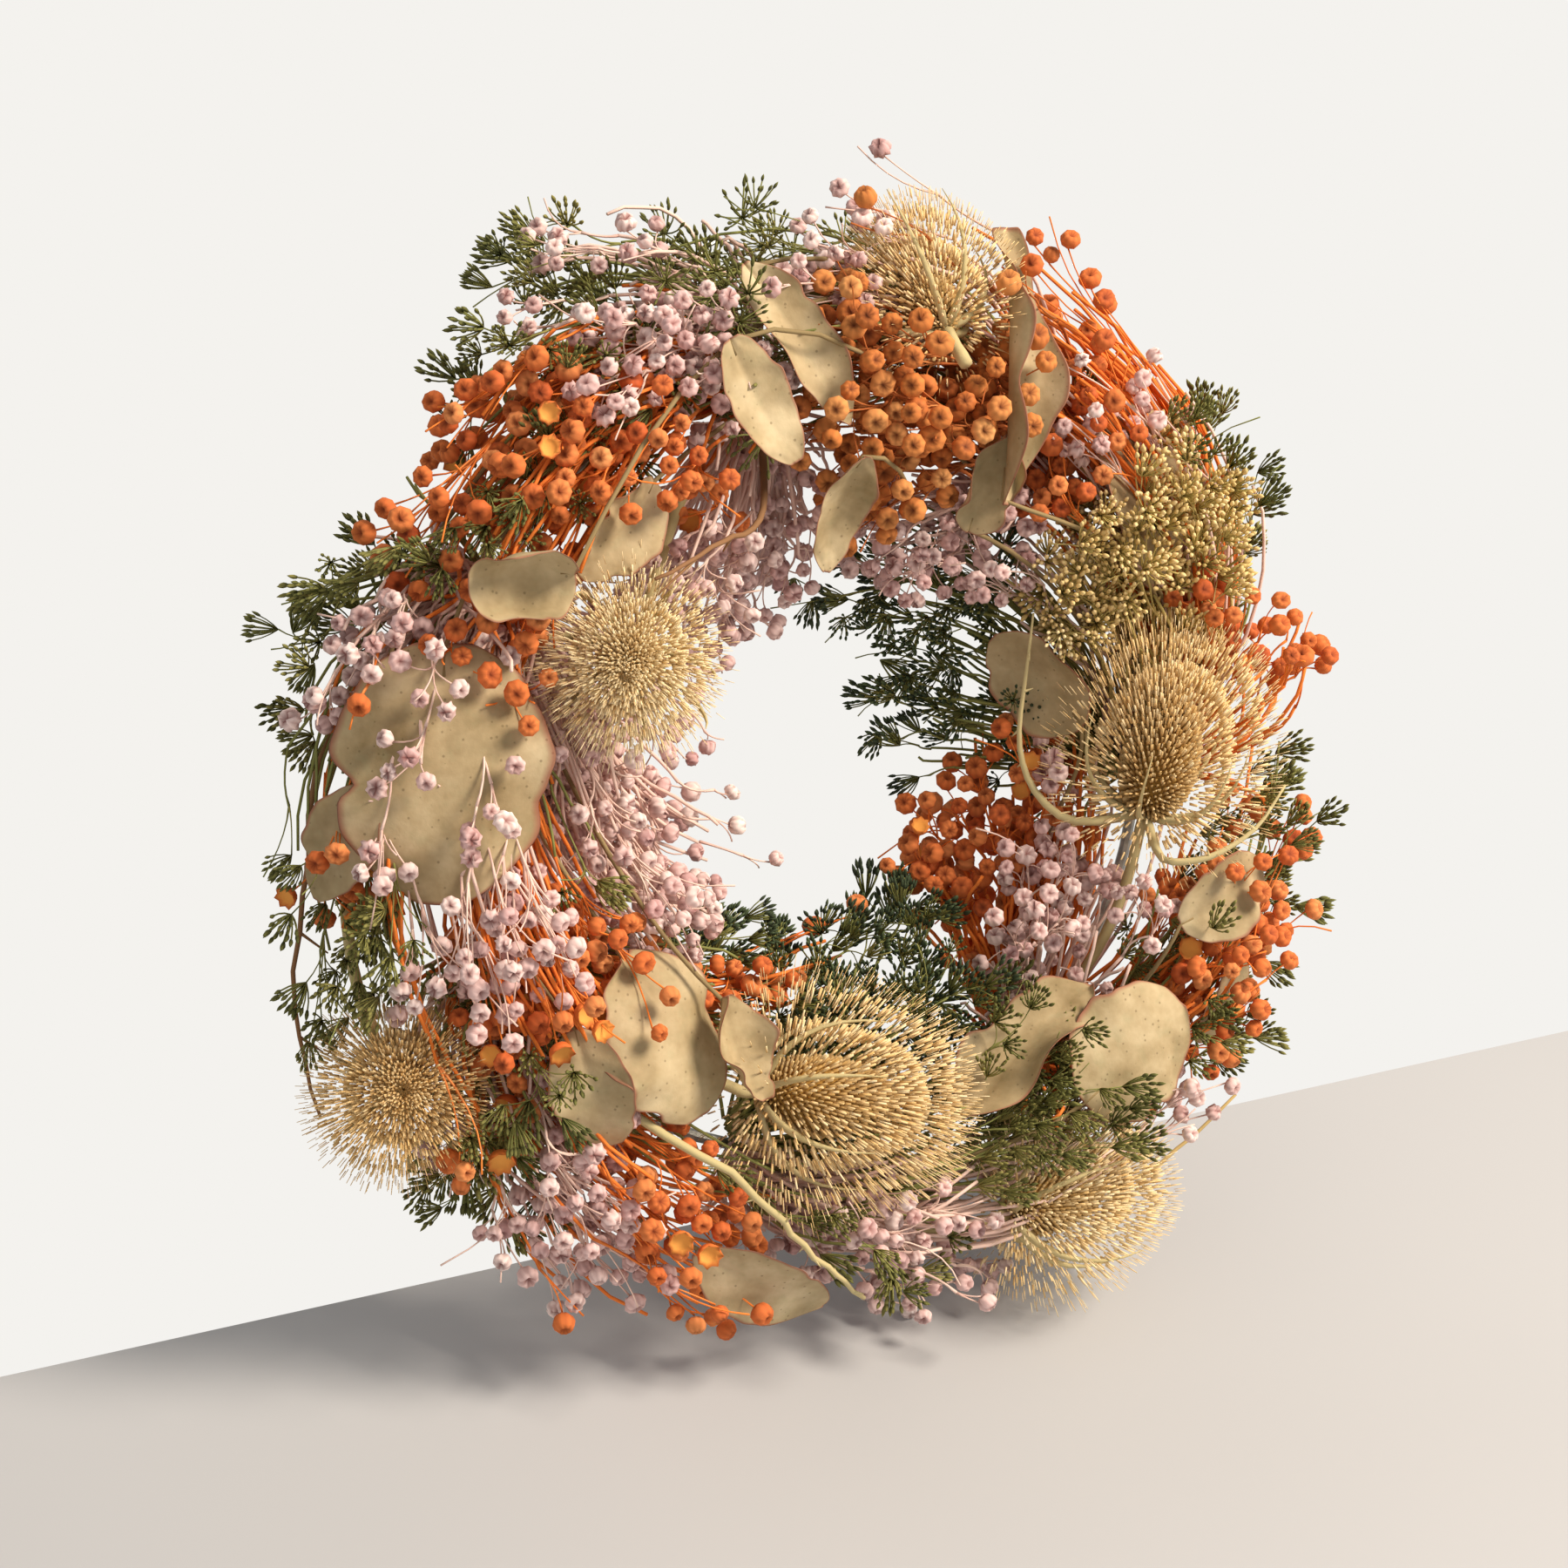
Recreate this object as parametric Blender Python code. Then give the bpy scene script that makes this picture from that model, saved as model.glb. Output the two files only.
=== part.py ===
"""Dried-flower door wreath, one solid for each piece, in metres.

The wreath hangs upright in the XZ plane with its front towards -Y. The origin is the point
of the hanging loop that rests on the door hook. Everything is bound to one wire ring, so
places are given round that ring: an angle along it, an angle round its wire (0 towards the
front, 90 away from the wreath's centre, -90 towards it) and a distance from the wire.
"""

import math

import bmesh
import bpy
from mathutils import Vector

OBJECT_NAME = "harvest_door_wreath"

# The ring and the hanging loop
RING_RADIUS = 0.130
RING_WIRE = 0.002
RING_SEGMENTS = 64
RING_SIDES = 8
HOOK_REACH = 0.052
LOOP_LEAN = math.radians(25)
LOOP_WIRE = 0.0009
LOOP_EYE = 0.0036
LOOP_HALF_WIDTH = 0.0115
LOOP_TWIST = 0.00125
LOOP_TURNS = 1.25
LOOP_NECK_END = 0.021
EYE_ARC = 300.0
BOW_ARC = 230.0

# The stations where bunches are bound on
STATIONS = 7
FIRST_STATION = 45.0
STATION_STEP = 360.0 / STATIONS
ROWS = {"outer": 72.0, "front": 25.0, "inner_front": -25.0, "inner": -72.0}
TIE_RADIUS = 0.0132
TIE_WIRE = 0.0006
TIE_TURNS = 2.5
TIE_LENGTH = 0.009
STEM_HEIGHT = 0.007
STALK_HEIGHT = 0.0107
STUB = 0.012
STALK_RISE = 1.7

# A bunch widens as it rises from the ring
SPREAD = 0.33
BUNCH_STEPS = 8
BUNCH_RISE = 1.5
DOME_LENGTH = 0.64
DOME_STEPS = (0.35, 0.58)

HOOK_POINT = Vector((0.0, 0.0, 0.0))
RING_TOP = HOOK_POINT - HOOK_REACH * Vector((0.0, math.sin(LOOP_LEAN), math.cos(LOOP_LEAN)))
RING_CENTRE = RING_TOP - Vector((0.0, 0.0, RING_RADIUS))

# Each bunch: station, row, what it is, its length and how high its end stands off the ring
BUNCHES = [
    (0, "outer", "green_umbels", 0.132, 0.050),
    (0, "inner_front", "terracotta_flowers", 0.120, 0.042),
    (0, "inner", "pink_flowers", 0.120, 0.047),
    (1, "outer", "green_umbels", 0.130, 0.048),
    (1, "front", "orange_flowers", 0.135, 0.042),
    (1, "inner", "pink_flowers", 0.120, 0.047),
    (2, "front", "pink_flowers", 0.135, 0.042),
    (2, "inner_front", "orange_flowers", 0.125, 0.042),
    (2, "inner", "pink_flowers", 0.125, 0.049),
    (3, "outer", "pink_flowers", 0.142, 0.053),
    (3, "front", "orange_flowers", 0.130, 0.042),
    (3, "inner", "orange_flowers", 0.120, 0.046),
    (4, "outer", "pink_flowers", 0.132, 0.050),
    (4, "inner_front", "green_umbels", 0.130, 0.042),
    (4, "inner", "green_umbels", 0.120, 0.046),
    (5, "outer", "green_umbels", 0.130, 0.048),
    (5, "front", "orange_flowers", 0.130, 0.042),
    (5, "inner", "orange_flowers", 0.125, 0.046),
    (6, "outer", "green_umbels", 0.125, 0.048),
    (6, "front", "gold_umbels", 0.130, 0.042),
    (6, "inner_front", "orange_flowers", 0.130, 0.042),
    (6, "inner", "green_umbels", 0.120, 0.046),
]

# Each teasel: station, row, the place of the head's middle, the way the head points
# (along the ring, round the wire, off the wire), its length and its largest radius
TEASELS = [
    (0, None, (78.0, 28.0, 0.060), (0.15, 1.0, -0.35), 0.054, 0.0175),
    (1, "inner_front", (150.0, -28.0, 0.064), (0.31, 0.74, 0.56), 0.048, 0.0160),
    (5, "inner_front", (355.0, -25.0, 0.058), (1.0, 0.05, 0.25), 0.064, 0.0190),
    (3, "inner_front", (250.0, -27.0, 0.058), (1.0, 0.0, 0.25), 0.064, 0.0190),
    (2, "outer", (203.0, 64.0, 0.056), (-0.30, -0.77, 0.55), 0.054, 0.0165),
    (4, "front", (287.0, 32.0, 0.056), (1.0, 0.2, 0.15), 0.056, 0.0170),
]
TEASEL_STEM = 0.0019
TEASEL_NECK = 0.006
CUT_STUB = (0.012, 0.004)
TEASEL_OUTLINE = [
    (0.00, 0.30),
    (0.06, 0.62),
    (0.20, 0.92),
    (0.38, 1.00),
    (0.58, 0.94),
    (0.78, 0.74),
    (0.92, 0.46),
    (1.00, 0.20),
]

# Each leaf: station, where its stalk is bound round the wire, the place of the blade's
# middle, the blade's length and width, and how far its sides curl away from the wreath
LEAVES = [
    (1, 0.0, (170.0, 22.0, 0.062), 0.080, 0.066, 0.009),
    (1, 48.0, (176.0, 60.0, 0.071), 0.056, 0.038, 0.002),
    (0, 48.0, (146.0, 14.0, 0.067), 0.034, 0.022, 0.006),
    (0, 0.0, (127.0, -8.0, 0.062), 0.056, 0.040, 0.004),
    (0, -48.0, (107.0, -10.0, 0.066), 0.050, 0.040, 0.004),
    (0, -95.0, (97.0, -48.0, 0.064), 0.050, 0.018, 0.002),
    (6, 0.0, (60.0, -4.0, 0.061), 0.068, 0.034, 0.008),
    (6, -48.0, (62.0, -38.0, 0.063), 0.052, 0.024, 0.005),
    (6, 48.0, (36.0, 22.0, 0.062), 0.052, 0.044, 0.004),
    (5, -95.0, (16.0, -62.0, 0.068), 0.044, 0.026, 0.004),
    (2, 0.0, (214.0, -14.0, 0.064), 0.054, 0.046, 0.005),
    (2, -48.0, (226.0, -46.0, 0.067), 0.036, 0.026, 0.004),
    (2, 48.0, (218.0, 26.0, 0.061), 0.044, 0.034, 0.003),
    (4, 0.0, (306.0, -8.0, 0.066), 0.056, 0.050, 0.004),
    (5, 48.0, (320.0, 30.0, 0.061), 0.044, 0.030, 0.003),
    (4, -48.0, (294.0, -42.0, 0.063), 0.046, 0.034, 0.007),
    (3, 48.0, (246.0, 34.0, 0.062), 0.044, 0.034, 0.004),
    (5, 0.0, (336.0, 6.0, 0.062), 0.040, 0.030, 0.003),
]
LEAF_STALK = 0.0008
LEAF_HALF_THICKNESS = 0.00045
LEAF_OUTLINE = [
    (0.04, 0.16),
    (0.16, 0.62),
    (0.34, 0.94),
    (0.54, 1.00),
    (0.74, 0.82),
    (0.90, 0.46),
    (1.00, 0.10),
]
LEAF_SECTION = [
    (-1.0, 0.0),
    (-0.5, 1.0),
    (0.0, 1.0),
    (0.5, 1.0),
    (1.0, 0.0),
    (0.5, -1.0),
    (0.0, -1.0),
    (-0.5, -1.0),
]

# Each twig: its name, station, where it is bound, its radius and the points it passes
TWIGS = [
    (
        "bare_twig_upper", 1, -48.0, 0.0011,
        [(113.0, -38.0, 0.062), (126.0, -24.0, 0.073), (138.0, -14.0, 0.078)],
    ),
    (
        "bare_twig_lower", 2, 95.0, 0.0011,
        [(180.0, 97.0, 0.046), (194.0, 99.0, 0.062), (204.0, 97.0, 0.072)],
    ),
    (
        "grass_blade", 4, 95.0, 0.0010,
        [(280.0, 96.0, 0.040), (300.0, 80.0, 0.066), (314.0, 62.0, 0.072)],
    ),
]
TWIG_TAPER = 0.55

FINISHES = {
    "steel_wire": ((0.30, 0.30, 0.29), 0.45, 1.0),
    "binding_wire": ((0.13, 0.16, 0.11), 0.55, 1.0),
    "orange_flowers": ((0.72, 0.13, 0.025), 0.85, 0.0),
    "terracotta_flowers": ((0.54, 0.12, 0.04), 0.85, 0.0),
    "pink_flowers": ((0.68, 0.40, 0.38), 0.85, 0.0),
    "green_umbels": ((0.07, 0.11, 0.04), 0.90, 0.0),
    "gold_umbels": ((0.33, 0.28, 0.07), 0.90, 0.0),
    "teasel": ((0.62, 0.42, 0.17), 0.80, 0.0),
    "leaf": ((0.35, 0.30, 0.16), 0.75, 0.0),
    "twig": ((0.22, 0.15, 0.08), 0.80, 0.0),
}


def clear_scene():
    for item in list(bpy.data.objects):
        bpy.data.objects.remove(item, do_unlink=True)


def new_collection(name):
    collection = bpy.data.collections.new(name)
    bpy.context.scene.collection.children.link(collection)
    return collection


def new_material(name, finish):
    colour, roughness, metallic = finish
    material = bpy.data.materials.new(name)
    material.use_nodes = True
    shader = material.node_tree.nodes["Principled BSDF"]
    shader.inputs["Base Color"].default_value = (*colour, 1.0)
    shader.inputs["Roughness"].default_value = roughness
    shader.inputs["Metallic"].default_value = metallic
    return material


def on_ring(along, round_wire, off_wire):
    """The point at an angle along the ring, an angle round its wire and a distance off it."""
    along = math.radians(along)
    round_wire = math.radians(round_wire)
    radius = RING_RADIUS + off_wire * math.sin(round_wire)
    offset = Vector((radius * math.cos(along), -off_wire * math.cos(round_wire), radius * math.sin(along)))
    return RING_CENTRE + offset


def directions(along, round_wire):
    """The unit directions along the ring, round its wire and off it."""
    along = math.radians(along)
    round_wire = math.radians(round_wire)
    outward = Vector((math.cos(along), 0.0, math.sin(along)))
    front = Vector((0.0, -1.0, 0.0))
    forward = Vector((-math.sin(along), 0.0, math.cos(along)))
    off_wire = math.sin(round_wire) * outward + math.cos(round_wire) * front
    around = math.cos(round_wire) * outward - math.sin(round_wire) * front
    return forward, around, off_wire


def degrees_along(length):
    return math.degrees(length / RING_RADIUS)


def station_angle(station):
    return FIRST_STATION + station * STATION_STEP


def ease(part):
    return part * part * (3.0 - 2.0 * part)


def add_object(name, data, finish):
    item = bpy.data.objects.new(name, data)
    item.data.materials.append(materials[finish])
    parts.objects.link(item)
    return item


def add_tube(name, finish, points, radii, sides=2, cyclic=False):
    """A round solid along the points, with its own radius at each of them."""
    curve = bpy.data.curves.new(name, "CURVE")
    curve.dimensions = "3D"
    curve.bevel_depth = 1.0
    curve.bevel_resolution = sides
    curve.use_fill_caps = not cyclic
    spline = curve.splines.new("POLY")
    spline.points.add(len(points) - 1)
    spline.use_cyclic_u = cyclic
    spline.use_smooth = True
    for knot, place, radius in zip(spline.points, points, radii):
        knot.co = (*place, 1.0)
        knot.radius = radius
    return add_object(name, curve, finish)


def add_wire_ring():
    bpy.ops.mesh.primitive_torus_add(
        major_segments=RING_SEGMENTS,
        minor_segments=RING_SIDES,
        major_radius=RING_RADIUS,
        minor_radius=RING_WIRE,
        location=RING_CENTRE,
        rotation=(math.pi / 2, 0.0, 0.0),
    )
    ring = bpy.context.object
    ring.name = "wire_ring"
    ring.data.name = "wire_ring"
    for collection in list(ring.users_collection):
        collection.objects.unlink(ring)
    parts.objects.link(ring)
    ring.data.materials.append(materials["steel_wire"])
    ring.data.shade_smooth()


def hanging_loop_points():
    """The closed centreline: an eye round the ring wire, a twisted neck and the loop for the hook."""
    points = []
    eye_steps = 10
    neck_steps = 16
    bow_steps = 16
    neck_start = LOOP_EYE * 1.5
    bow_middle = HOOK_REACH + LOOP_WIRE - LOOP_HALF_WIDTH
    for step in range(eye_steps + 1):
        angle = math.radians(EYE_ARC * (step / eye_steps - 0.5))
        points.append((LOOP_EYE * math.sin(angle), 0.0, -LOOP_EYE * math.cos(angle)))
    for step in range(neck_steps + 1):
        part = step / neck_steps
        turn = 2.0 * math.pi * LOOP_TURNS * part
        height = neck_start + (LOOP_NECK_END - neck_start) * part
        points.append((LOOP_TWIST * math.cos(turn), LOOP_TWIST * math.sin(turn), height))
    # The bow stands a quarter turn from the eye
    for step in range(bow_steps + 1):
        angle = math.radians(90.0 + BOW_ARC * (step / bow_steps - 0.5))
        height = bow_middle + LOOP_HALF_WIDTH * math.sin(angle)
        points.append((0.0, LOOP_HALF_WIDTH * math.cos(angle), height))
    for step in range(neck_steps + 1):
        part = 1.0 - step / neck_steps
        turn = 2.0 * math.pi * LOOP_TURNS * part
        height = neck_start + (LOOP_NECK_END - neck_start) * part
        points.append((-LOOP_TWIST * math.cos(turn), -LOOP_TWIST * math.sin(turn), height))
    return points


def add_hanging_loop():
    """Local x lies across the ring wire's plane, y along the ring wire, z towards the hook."""
    upward = Vector((0.0, math.sin(LOOP_LEAN), math.cos(LOOP_LEAN)))
    sideways = Vector((1.0, 0.0, 0.0))
    across = sideways.cross(upward)
    points = [p[0] * across + p[1] * sideways + p[2] * upward for p in hanging_loop_points()]
    loop = add_tube("hanging_loop", "steel_wire", points, [LOOP_WIRE] * len(points), cyclic=True)
    loop.location = RING_TOP


def add_tie(station):
    steps_per_turn = 12
    steps = int(TIE_TURNS * steps_per_turn)
    points = []
    for step in range(steps + 1):
        part = step / steps
        along = station_angle(station) + degrees_along(TIE_LENGTH * (part - 0.5))
        points.append(on_ring(along, 360.0 * TIE_TURNS * part + 180.0, TIE_RADIUS))
    add_tube(f"binding_wire_{station + 1}", "binding_wire", points, [TIE_WIRE] * len(points), sides=1)


def add_bunch(name, station, row, finish, length, height):
    """Stems bound on the ring, which spread into a rounded head as they rise from it."""
    start = station_angle(station)
    points = [on_ring(start - degrees_along(STUB), ROWS[row], STEM_HEIGHT)]
    radii = [SPREAD * STEM_HEIGHT]
    for step in range(BUNCH_STEPS + 1):
        part = step / BUNCH_STEPS
        off_wire = STEM_HEIGHT + (height - STEM_HEIGHT) * (1.0 - (1.0 - part) ** BUNCH_RISE)
        along = start + degrees_along(TIE_LENGTH + (length - TIE_LENGTH) * part)
        points.append(on_ring(along, ROWS[row], off_wire))
        radii.append(SPREAD * off_wire)
    end_radius = radii[-1]
    end_direction = (points[-1] - points[-2]).normalized()
    end_point = points[-1]
    for part in DOME_STEPS:
        points.append(end_point + end_direction * end_radius * part)
        radii.append(end_radius * math.sqrt(1.0 - (part / DOME_LENGTH) ** 2))
    add_tube(name, finish, points, radii)


def stalk_points(start, middle, steps):
    """Points from the tie to a place on the wreath, which leave the tie along the ring."""
    points = [(start[0] - degrees_along(STUB), start[1], start[2])]
    for step in range(steps + 1):
        part = step / steps
        along = start[0] + degrees_along(TIE_LENGTH)
        along += (middle[0] - along) * part
        round_wire = start[1] + (middle[1] - start[1]) * ease(part)
        off_wire = start[2] + (middle[2] - start[2]) * (1.0 - (1.0 - part) ** STALK_RISE)
        points.append((along, round_wire, off_wire))
    return points


def add_teasel(name, station, row, middle, heading, length, radius):
    """A stem with its spiny head, or a head on a cut stub where there is no row."""
    forward, around, off_wire = directions(middle[0], middle[1])
    axis = (heading[0] * forward + heading[1] * around + heading[2] * off_wire).normalized()
    base = on_ring(*middle) - axis * length / 2.0
    points = []
    if row is None:
        points += [base - axis * below for below in CUT_STUB]
    else:
        start = (station_angle(station), ROWS[row], STEM_HEIGHT)
        neck_point = base - axis * TEASEL_NECK
        places = stalk_points(start, ring_place(neck_point), 8)
        points += [on_ring(*place) for place in places]
    radii = [TEASEL_STEM] * len(points)
    for part, width in TEASEL_OUTLINE:
        points.append(base + axis * length * part)
        radii.append(radius * width)
    add_tube(name, "teasel", points, radii)


def ring_place(point):
    """The place round the ring of a point, the inverse of on_ring."""
    offset = point - RING_CENTRE
    along = math.degrees(math.atan2(offset.z, offset.x)) % 360.0
    outward = math.hypot(offset.x, offset.z) - RING_RADIUS
    front = -offset.y
    return along, math.degrees(math.atan2(outward, front)), math.hypot(outward, front)


def add_leaf(name, station, bound_at, middle, length, width, curl):
    """A stalk and its blade in one loft: round sections widen into thin curved ones."""
    radius_there = RING_RADIUS + middle[2] * math.sin(math.radians(middle[1]))
    half_turn = math.degrees(length / radius_there) / 2.0
    base = (middle[0] - half_turn, middle[1], middle[2])
    if base[0] < station_angle(station):
        base = (base[0] + 360.0, base[1], base[2])
    start = (station_angle(station), bound_at, STALK_HEIGHT)
    sections = [(place, LEAF_STALK, LEAF_STALK, 0.0) for place in stalk_points(start, base, 6)]
    for part, wide in LEAF_OUTLINE:
        place = (base[0] + 2.0 * half_turn * part, base[1], base[2])
        half_width = max(width / 2.0 * wide, LEAF_STALK)
        sections.append((place, half_width, LEAF_HALF_THICKNESS, curl * wide))
    mesh = bpy.data.meshes.new(name)
    form = bmesh.new()
    loops = []
    for place, half_width, half_thickness, lift in sections:
        loop = []
        for across, upward in LEAF_SECTION:
            aside = across * half_width
            off_wire = place[2] + upward * half_thickness + lift * across * across
            round_wire = place[1] + math.degrees(aside / place[2])
            loop.append(form.verts.new(on_ring(place[0], round_wire, off_wire)))
        loops.append(loop)
    for near, far in zip(loops, loops[1:]):
        for side in range(len(LEAF_SECTION)):
            after = (side + 1) % len(LEAF_SECTION)
            form.faces.new((near[side], near[after], far[after], far[side]))
    form.faces.new(loops[0])
    form.faces.new(list(reversed(loops[-1])))
    bmesh.ops.recalc_face_normals(form, faces=form.faces)
    form.to_mesh(mesh)
    form.free()
    mesh.shade_smooth()
    mesh.set_sharp_from_angle(angle=math.radians(40))
    add_object(name, mesh, "leaf")


def add_twig(name, station, bound_at, radius, passes):
    start = (station_angle(station), bound_at, STALK_HEIGHT)
    places = stalk_points(start, passes[0], 5)
    steps = 3
    for here, there in zip(passes, passes[1:]):
        for step in range(1, steps + 1):
            part = step / steps
            places.append(tuple(a + (b - a) * part for a, b in zip(here, there)))
    points = [on_ring(*place) for place in places]
    count = len(points)
    radii = [radius * (1.0 - TWIG_TAPER * step / (count - 1)) for step in range(count)]
    add_tube(name, "twig", points, radii, sides=1)


def add_all_bunches():
    counts = {}
    for station, row, finish, length, height in BUNCHES:
        counts[finish] = counts.get(finish, 0) + 1
        add_bunch(f"{finish}_{counts[finish]}", station, row, finish, length, height)


clear_scene()
parts = new_collection(OBJECT_NAME)
materials = {name: new_material(name, finish) for name, finish in FINISHES.items()}
add_wire_ring()
add_hanging_loop()
for station_number in range(STATIONS):
    add_tie(station_number)
add_all_bunches()
for number, teasel in enumerate(TEASELS, 1):
    add_teasel(f"teasel_{number}", *teasel)
for number, leaf in enumerate(LEAVES, 1):
    add_leaf(f"leaf_{number}", *leaf)
for twig in TWIGS:
    add_twig(*twig)
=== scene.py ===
import math

import bmesh
import bpy
import numpy as np
from mathutils import Matrix, Vector
from mathutils.kdtree import KDTree


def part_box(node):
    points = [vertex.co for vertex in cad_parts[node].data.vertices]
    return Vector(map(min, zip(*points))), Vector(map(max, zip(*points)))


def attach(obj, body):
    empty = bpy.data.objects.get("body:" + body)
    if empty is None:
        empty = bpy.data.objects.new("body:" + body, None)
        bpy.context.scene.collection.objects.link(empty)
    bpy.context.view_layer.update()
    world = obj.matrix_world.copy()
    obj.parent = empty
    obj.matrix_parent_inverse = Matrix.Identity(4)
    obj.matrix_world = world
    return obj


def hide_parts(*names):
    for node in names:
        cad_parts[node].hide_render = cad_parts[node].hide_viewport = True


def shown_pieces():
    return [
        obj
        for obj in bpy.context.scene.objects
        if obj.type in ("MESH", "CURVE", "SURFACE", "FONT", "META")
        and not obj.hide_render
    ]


# Harvest door wreath: dried bunches, teasels and leaves bound round a wire ring

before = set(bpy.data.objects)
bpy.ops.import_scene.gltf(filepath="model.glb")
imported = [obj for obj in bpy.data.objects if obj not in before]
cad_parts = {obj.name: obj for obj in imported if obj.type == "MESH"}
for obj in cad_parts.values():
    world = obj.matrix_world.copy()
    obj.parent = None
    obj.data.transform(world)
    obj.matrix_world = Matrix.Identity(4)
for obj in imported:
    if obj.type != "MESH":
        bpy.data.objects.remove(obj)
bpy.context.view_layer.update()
rng = np.random.default_rng(11)
mm = 0.001
goldenAngle = 2.39996  # radians: spreads spines and rays evenly
fullTurn = 6.283

# the wire ring gives every other place
ringWire = 2.0 * mm
ringLow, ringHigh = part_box("wire_ring")
ringCentre = np.array((ringLow + ringHigh) / 2)
ringRadius = (ringHigh.x - ringLow.x) / 2 - ringWire
stations = 7
firstStation = 45.0
bindHeight = 8.0 * mm


def onRing(along, around, off):
    # angle along the ring, angle round its wire (0 front, 90 away from the middle) and height off it
    along, around = np.radians(along), np.radians(around)
    radius = ringRadius + off * np.sin(around)
    return ringCentre + np.stack([radius * np.cos(along), -off * np.cos(around), radius * np.sin(along)], -1)


def placeOf(point):
    # the inverse of onRing
    offset = point - ringCentre
    along = math.degrees(math.atan2(offset[2], offset[0])) % 360
    outward = math.hypot(offset[0], offset[2]) - ringRadius
    return along, math.degrees(math.atan2(outward, -offset[1])), math.hypot(outward, offset[1])


def ringFrame(along, around):
    # unit directions: along the ring, round the wire, off the wire
    along, around = math.radians(along), math.radians(around)
    outward = np.array([math.cos(along), 0.0, math.sin(along)])
    front = np.array([0.0, -1.0, 0.0])
    forward = np.array([-math.sin(along), 0.0, math.cos(along)])
    off = math.sin(around) * outward + math.cos(around) * front
    return forward, math.cos(around) * outward - math.sin(around) * front, off


def stationAngle(station):
    return firstStation + station * 360.0 / stations


def countedOn(station, along):
    # the same angle along the ring, counted on from the tie
    least = stationAngle(station) - 20
    if along < least:
        return along + 360 * math.ceil((least - along) / 360)
    return along


def stemPath(station, startAround, end, steps, low=bindHeight):
    # from the tie to a place: it leaves along the ring and rises off it
    part = np.linspace(0, 1, steps)
    ease = part * part * (3 - 2 * part)
    begin = stationAngle(station) - 4.0
    along = begin + (end[0] - begin) * part
    around = startAround + (end[1] - startAround) * ease
    off = low + (end[2] - low) * (1 - (1 - part) ** 1.6)
    return onRing(along, around, off)


def within(value, limit):
    return max(-limit, min(limit, value))


def unit(vectors):
    return vectors / np.maximum(np.linalg.norm(vectors, axis=-1, keepdims=True), 1e-9)


def turnsAlong(directions, spins):
    # rotation matrices that send z to each direction, spun about it
    z = unit(directions)
    helper = np.where(np.abs(z[:, 2:3]) > 0.9, np.array([1.0, 0, 0]), np.array([0, 0, 1.0]))
    x = unit(np.cross(helper, z))
    y = np.cross(z, x)
    c, s = np.cos(spins)[:, None], np.sin(spins)[:, None]
    return np.stack([x * c + y * s, y * c - x * s, z], -1)


def deselectAll():
    if bpy.context.object and bpy.context.object.mode != "OBJECT":
        bpy.ops.object.mode_set(mode="OBJECT")
    bpy.ops.object.select_all(action="DESELECT")


def selectWhere(item, test):
    # selects the vertices that pass the test, in edit mode
    form = bmesh.from_edit_mesh(item.data)
    for vert in form.verts:
        vert.select = bool(test(vert.co))
    form.select_flush(True)
    bmesh.update_edit_mesh(item.data)


def readShape(item, fold=None):
    # takes a modelled object's mesh as arrays, and removes the object
    deselectAll()
    mesh = item.data
    verts = np.empty(len(mesh.vertices) * 3)
    mesh.vertices.foreach_get("co", verts)
    corners = np.empty(len(mesh.loops), int)
    mesh.loops.foreach_get("vertex_index", corners)
    sizes = np.empty(len(mesh.polygons), int)
    mesh.polygons.foreach_get("loop_total", sizes)
    verts = verts.reshape(-1, 3)
    bpy.data.objects.remove(item, do_unlink=True)
    amount = np.zeros(len(verts)) if fold is None else np.array([fold(v) for v in verts])
    return {"verts": verts, "corners": corners, "sizes": sizes, "fold": np.clip(amount, 0, 1)}


def copies(shape, places, turns, scales, tones, finish=0):
    # one copy of the shape for each place; every copy has its own tone
    scales = np.broadcast_to(np.asarray(scales, float).reshape(len(places), -1), (len(places), 3))
    verts = np.einsum("kij,knj->kni", turns, shape["verts"][None] * scales[:, None, :]) + places[:, None]
    count = len(shape["verts"])
    corners = shape["corners"][None] + np.arange(len(places))[:, None] * count
    return {
        "verts": verts.reshape(-1, 3),
        "corners": corners.ravel(),
        "sizes": np.tile(shape["sizes"], len(places)),
        "fold": np.tile(shape["fold"], len(places)),
        "tone": np.repeat(tones, count),
        "finish": finish,
    }


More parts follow.
